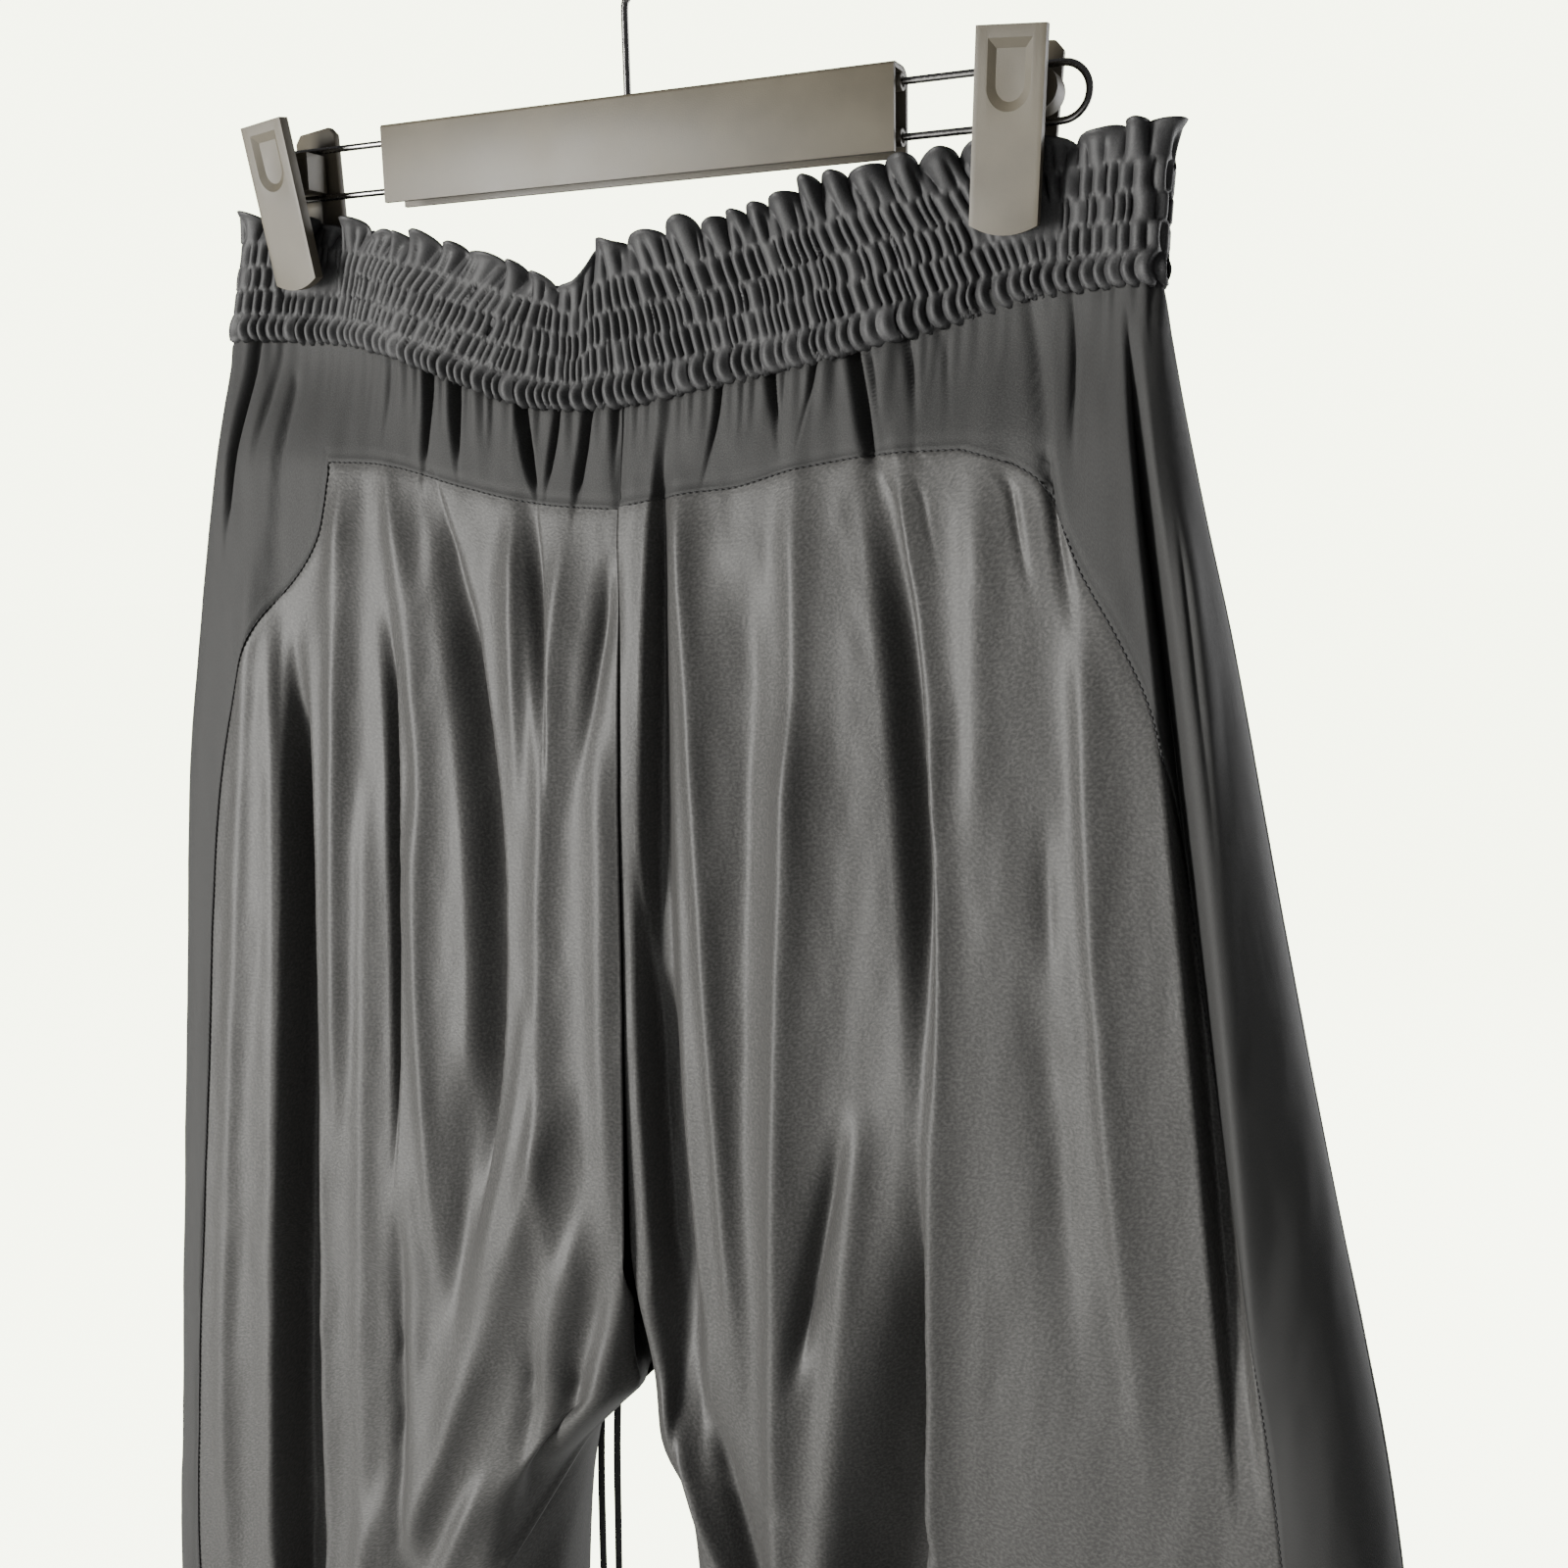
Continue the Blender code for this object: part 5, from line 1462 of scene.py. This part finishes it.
for side_name, side in SIDES.items():
    front = stand(thumb_plate(f"clip_plate_front_{side_name}"), side_name, FRONT_AT, FRONT_TIP)
    back = stand(back_plate(f"clip_plate_back_{side_name}"), side_name, BACK_AT, BACK_TIP)
    box = spring_box(f"clip_spring_box_{side_name}", side)
    box.location = (side * CLIP_AT, SPRING_AT, BAR_Z)
    apply_all(box)
    for made, part in ((front, "front"), (back, "back"), (box, "spring")):
        belongs(made, f"clip_{side_name}_{part}")
        print(made.name, len(made.data.polygons), "faces")

# %% [markdown]
# ## Finishes
# Satin is smooth yarn that floats over the surface, so it has a low sheen and fine slubs that
# run across. Crepe is tightly twisted and dull. Both are dark, so the light they return comes
# from the weave more than the colour. One group makes the yarn, and each cloth sets its scale.

# %% Yarn group


def add(nodes, kind, **values):
    """A shader node with these values in its sockets; _ stands for a space in a name."""
    made = nodes.new(f"ShaderNode{kind}")
    for socket, value in values.items():
        made.inputs[socket.replace("_", " ")].default_value = value
    return made


def yarn_group():
    """Slubs stretched along the cloth's chart, and a finer grain over them."""
    group = bpy.data.node_groups.new("yarn", "ShaderNodeTree")
    group.interface.new_socket(name="Chart", in_out="INPUT", socket_type="NodeSocketVector")
    for name, usual in (("Across", 90.0), ("Down", 1500.0), ("Grain", 1800.0)):
        socket = group.interface.new_socket(name=name, in_out="INPUT", socket_type="NodeSocketFloat")
        socket.default_value = usual
    nodes, links = group.nodes, group.links
    enter, leave = nodes.new("NodeGroupInput"), nodes.new("NodeGroupOutput")
    stretch, stretched = add(nodes, "CombineXYZ"), add(nodes, "VectorMath")
    stretched.operation = "MULTIPLY"
    slub, grain = add(nodes, "TexNoise", Scale=1.0, Detail=2.0), add(nodes, "TexNoise", Detail=1.0)
    links.new(enter.outputs["Across"], stretch.inputs[0])
    links.new(enter.outputs["Down"], stretch.inputs[1])
    links.new(enter.outputs["Chart"], stretched.inputs[0])
    links.new(stretch.outputs[0], stretched.inputs[1])
    links.new(stretched.outputs[0], slub.inputs["Vector"])
    links.new(enter.outputs["Chart"], grain.inputs["Vector"])
    links.new(enter.outputs["Grain"], grain.inputs["Scale"])
    for name, operation in (("Height", "ADD"), ("Tone", "MULTIPLY")):
        group.interface.new_socket(name=name, in_out="OUTPUT", socket_type="NodeSocketFloat")
        both = add(nodes, "Math")
        both.operation = operation
        links.new(slub.outputs["Fac"], both.inputs[0])
        links.new(grain.outputs["Fac"], both.inputs[1])
        links.new(both.outputs[0], leave.inputs[name])
    return group


yarn = yarn_group()
print("yarn group", len(yarn.nodes), "nodes")

# %% [markdown]
# The plastic has a fine spark-eroded grain and slight wear where it is handled, and the steel
# has faint drawing marks along the wire. All the looks use the same few helpers, for a colour
# that runs between two tones, for a relief, and for a roughness that varies.

# %% Materials
CLOTHS = {
    # name: dark, light, roughness, across, down, grain, relief, depth, specular level
    "silk_satin": (
        (0.0362, 0.0357, 0.0348), (0.0630, 0.0615, 0.0595), 0.49, 800, 1000, 800, 0.17, 0.0004, 0.26
    ),
    "dull_crepe": (
        (0.0225, 0.0225, 0.0223), (0.0380, 0.0377, 0.0371), 0.72, 1400, 1400, 2200, 0.25, 0.0003, 0.30
    ),
    "gathered_crepe": (
        (0.0240, 0.0240, 0.0250), (0.0420, 0.0416, 0.0428), 0.60, 1400, 1400, 2200, 0.20, 0.0002, 0.40
    ),
    "tape_weave": (
        (0.0120, 0.0120, 0.0130), (0.0300, 0.0300, 0.0320), 0.70, 2500, 900, 2500, 0.40, 0.0003, 0.50
    ),
}
YARN_TONES = (0.16, 0.38)
PLASTIC_TONES, PLASTIC_SPAN = ((0.070, 0.0605, 0.0425), (0.097, 0.0838, 0.0588)), (0.3, 0.75)
STEEL_TONES = ((0.16, 0.155, 0.15), (0.26, 0.255, 0.25))
LOOKS = {
    # the first word of a piece's name: its look
    "satin": "silk_satin",
    "crepe": "dull_crepe",
    "shirred": "gathered_crepe",
    "cuff": "gathered_crepe",
    "drawstring": "tape_weave",
    "stitches": "black_thread",
    "steel": "drawn_steel",
    "plastic": "hanger_plastic_taupe",
    "wire": "hanger_plastic_taupe",
    "bar": "hanger_plastic_taupe",
    "clip": "hanger_plastic_taupe",
}
looks = {}


def look(name, rough, metal=0.0, **fixed):
    """A material of this name, and its nodes, links and shader to work on."""
    made = bpy.data.materials.new(name)
    made.use_nodes = True
    looks[name] = made
    nodes, links = made.node_tree.nodes, made.node_tree.links
    shader = nodes["Principled BSDF"]
    for socket, value in {"Roughness": rough, "Metallic": metal, **fixed}.items():
        shader.inputs[socket.replace("_", " ")].default_value = value
    return nodes, links, shader


def tint(nodes, links, source, shader, tones, span=(0, 1)):
    """The shader's colour, running between two tones as the source rises."""
    ramp = add(nodes, "ValToRGB")
    for stop, tone, where in zip(ramp.color_ramp.elements, tones, span):
        stop.position, stop.color = where, (*tone, 1)
    links.new(source, ramp.inputs["Fac"])
    links.new(ramp.outputs["Color"], shader.inputs["Base Color"])


def relief(nodes, links, source, shader, strength, depth):
    """A fine relief from the source's height."""
    lump = add(nodes, "Bump", Strength=strength, Distance=depth)
    links.new(source, lump.inputs["Height"])
    links.new(lump.outputs["Normal"], shader.inputs["Normal"])


def sheen(nodes, links, source, shader, least, most):
    """A roughness that varies with the source."""
    span = add(nodes, "MapRange", To_Min=least, To_Max=most)
    links.new(source, span.inputs["Value"])
    links.new(span.outputs["Result"], shader.inputs["Roughness"])


for name, (dark, light, rough, across, down, grain, strength, depth, level) in CLOTHS.items():
    nodes, links, shader = look(name, rough, Specular_IOR_Level=level)
    chart = add(nodes, "UVMap")
    chart.uv_map = "cut"
    threads = nodes.new("ShaderNodeGroup")
    threads.node_tree = yarn
    for socket, value in (("Across", across), ("Down", down), ("Grain", grain)):
        threads.inputs[socket].default_value = value
    links.new(chart.outputs["UV"], threads.inputs["Chart"])
    tint(nodes, links, threads.outputs["Tone"], shader, (dark, light), YARN_TONES)
    relief(nodes, links, threads.outputs["Height"], shader, strength, depth)

nodes, links, shader = look("hanger_plastic_taupe", 0.50, Specular_IOR_Level=0.5)
where, cloud = add(nodes, "TexCoord"), add(nodes, "TexNoise", Scale=45, Detail=4)
links.new(where.outputs["Object"], cloud.inputs["Vector"])
tint(nodes, links, cloud.outputs["Fac"], shader, PLASTIC_TONES, PLASTIC_SPAN)
sheen(nodes, links, cloud.outputs["Fac"], shader, 0.42, 0.58)
grain = add(nodes, "TexNoise", Scale=2600)
links.new(where.outputs["Object"], grain.inputs["Vector"])
relief(nodes, links, grain.outputs["Fac"], shader, 0.20, 0.0002)

nodes, links, shader = look("drawn_steel", 0.22, 1.0)
where, marks = add(nodes, "TexCoord"), add(nodes, "TexNoise", Scale=900)
links.new(where.outputs["Object"], marks.inputs["Vector"])
sheen(nodes, links, marks.outputs["Fac"], shader, 0.16, 0.34)
tint(nodes, links, marks.outputs["Fac"], shader, STEEL_TONES)

# The thread is black and set darker than the cloth: painted shade of the valleys where the seams pull open.
look("black_thread", 0.6, Base_Color=(0.006, 0.006, 0.007, 1))


def dress(made, material):
    made.data.materials.clear()
    made.data.materials.append(material)


for name, piece in pieces.items():
    dress(piece, looks[LOOKS[name.split("_")[0]]])
print("finishes", list(looks))

# %% [markdown]
# ## Floor and light
# A pale floor lies under the ankles in a pale room. Both look bright to the camera and give
# little light themselves. One large soft window stands far to the left, a weak low fill in front
# keeps the folds open, and a soft light from behind on the right edges the hanger and the legs.

# %% Stage
ROOM, PAPER, DIM_ROOM = (6.4, 6.8, 5.0), (6.6, 7.0, 5.2), (0.13, 0.13, 0.134)
FLOOR_DROP, FLOOR_R, FLOOR_PALE = 0.06, 14, (0.78, 0.79, 0.77, 1)


def seen_colour(tree, plain, seen, target):
    """One colour for the light a surface gives, and another where the camera looks at it."""
    path, mix = add(tree.nodes, "LightPath"), add(tree.nodes, "Mix")
    mix.data_type = "RGBA"
    mix.inputs["A"].default_value, mix.inputs["B"].default_value = (*plain, 1), (*seen, 1)
    tree.links.new(path.outputs["Is Camera Ray"], mix.inputs["Factor"])
    tree.links.new(mix.outputs["Result"], target)


low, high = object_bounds()
bpy.ops.mesh.primitive_circle_add(
    vertices=96, radius=FLOOR_R, fill_type="NGON", location=(0, 0, low.z - FLOOR_DROP)
)
floor = begin("floor")
floor.select_set(False)
nodes, links, shader = look("pale_floor", 0.9, Base_Color=FLOOR_PALE, Emission_Strength=1.0)
seen_colour(looks["pale_floor"].node_tree, (0, 0, 0), ROOM, shader.inputs["Emission Color"])
dress(floor, looks["pale_floor"])

world = bpy.data.worlds.new("pale_room")
bpy.context.scene.world = world
world.use_nodes = True
background = world.node_tree.nodes["Background"]
seen_colour(world.node_tree, DIM_ROOM, PAPER, background.inputs["Color"])
background.inputs["Strength"].default_value = 1.0


def soft_light(name, where, aim, wide, tall, power, tone=(1, 1, 1)):
    """A large lamp at one place, aimed at another."""
    lamp = bpy.data.lights.new(name, "AREA")
    lamp.shape, lamp.size, lamp.size_y = "RECTANGLE", wide, tall
    lamp.energy, lamp.color = power, tone
    made = new_object(name, lamp)
    made.location = where
    made.rotation_euler = (Vector(aim) - Vector(where)).to_track_quat("-Z", "Y").to_euler()


soft_light("window", (-2.20, -2.85, -0.30), (0, 0, -0.50), 0.9, 1.9, 300, (1.0, 0.99, 0.955))
soft_light("fill", (0.0, -1.9, -0.95), (0, 0, -0.60), 1.4, 1.0, 6)
soft_light("bounce", (1.7, 2.2, -0.3), (0.1, 0, -0.5), 1.4, 2.0, 70)
print("stage set")

# %% Sizes and finish
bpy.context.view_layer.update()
triangles = sum(len(p.data.polygons) * 2 for p in pieces.values())
print("about", triangles, "triangles before walls")
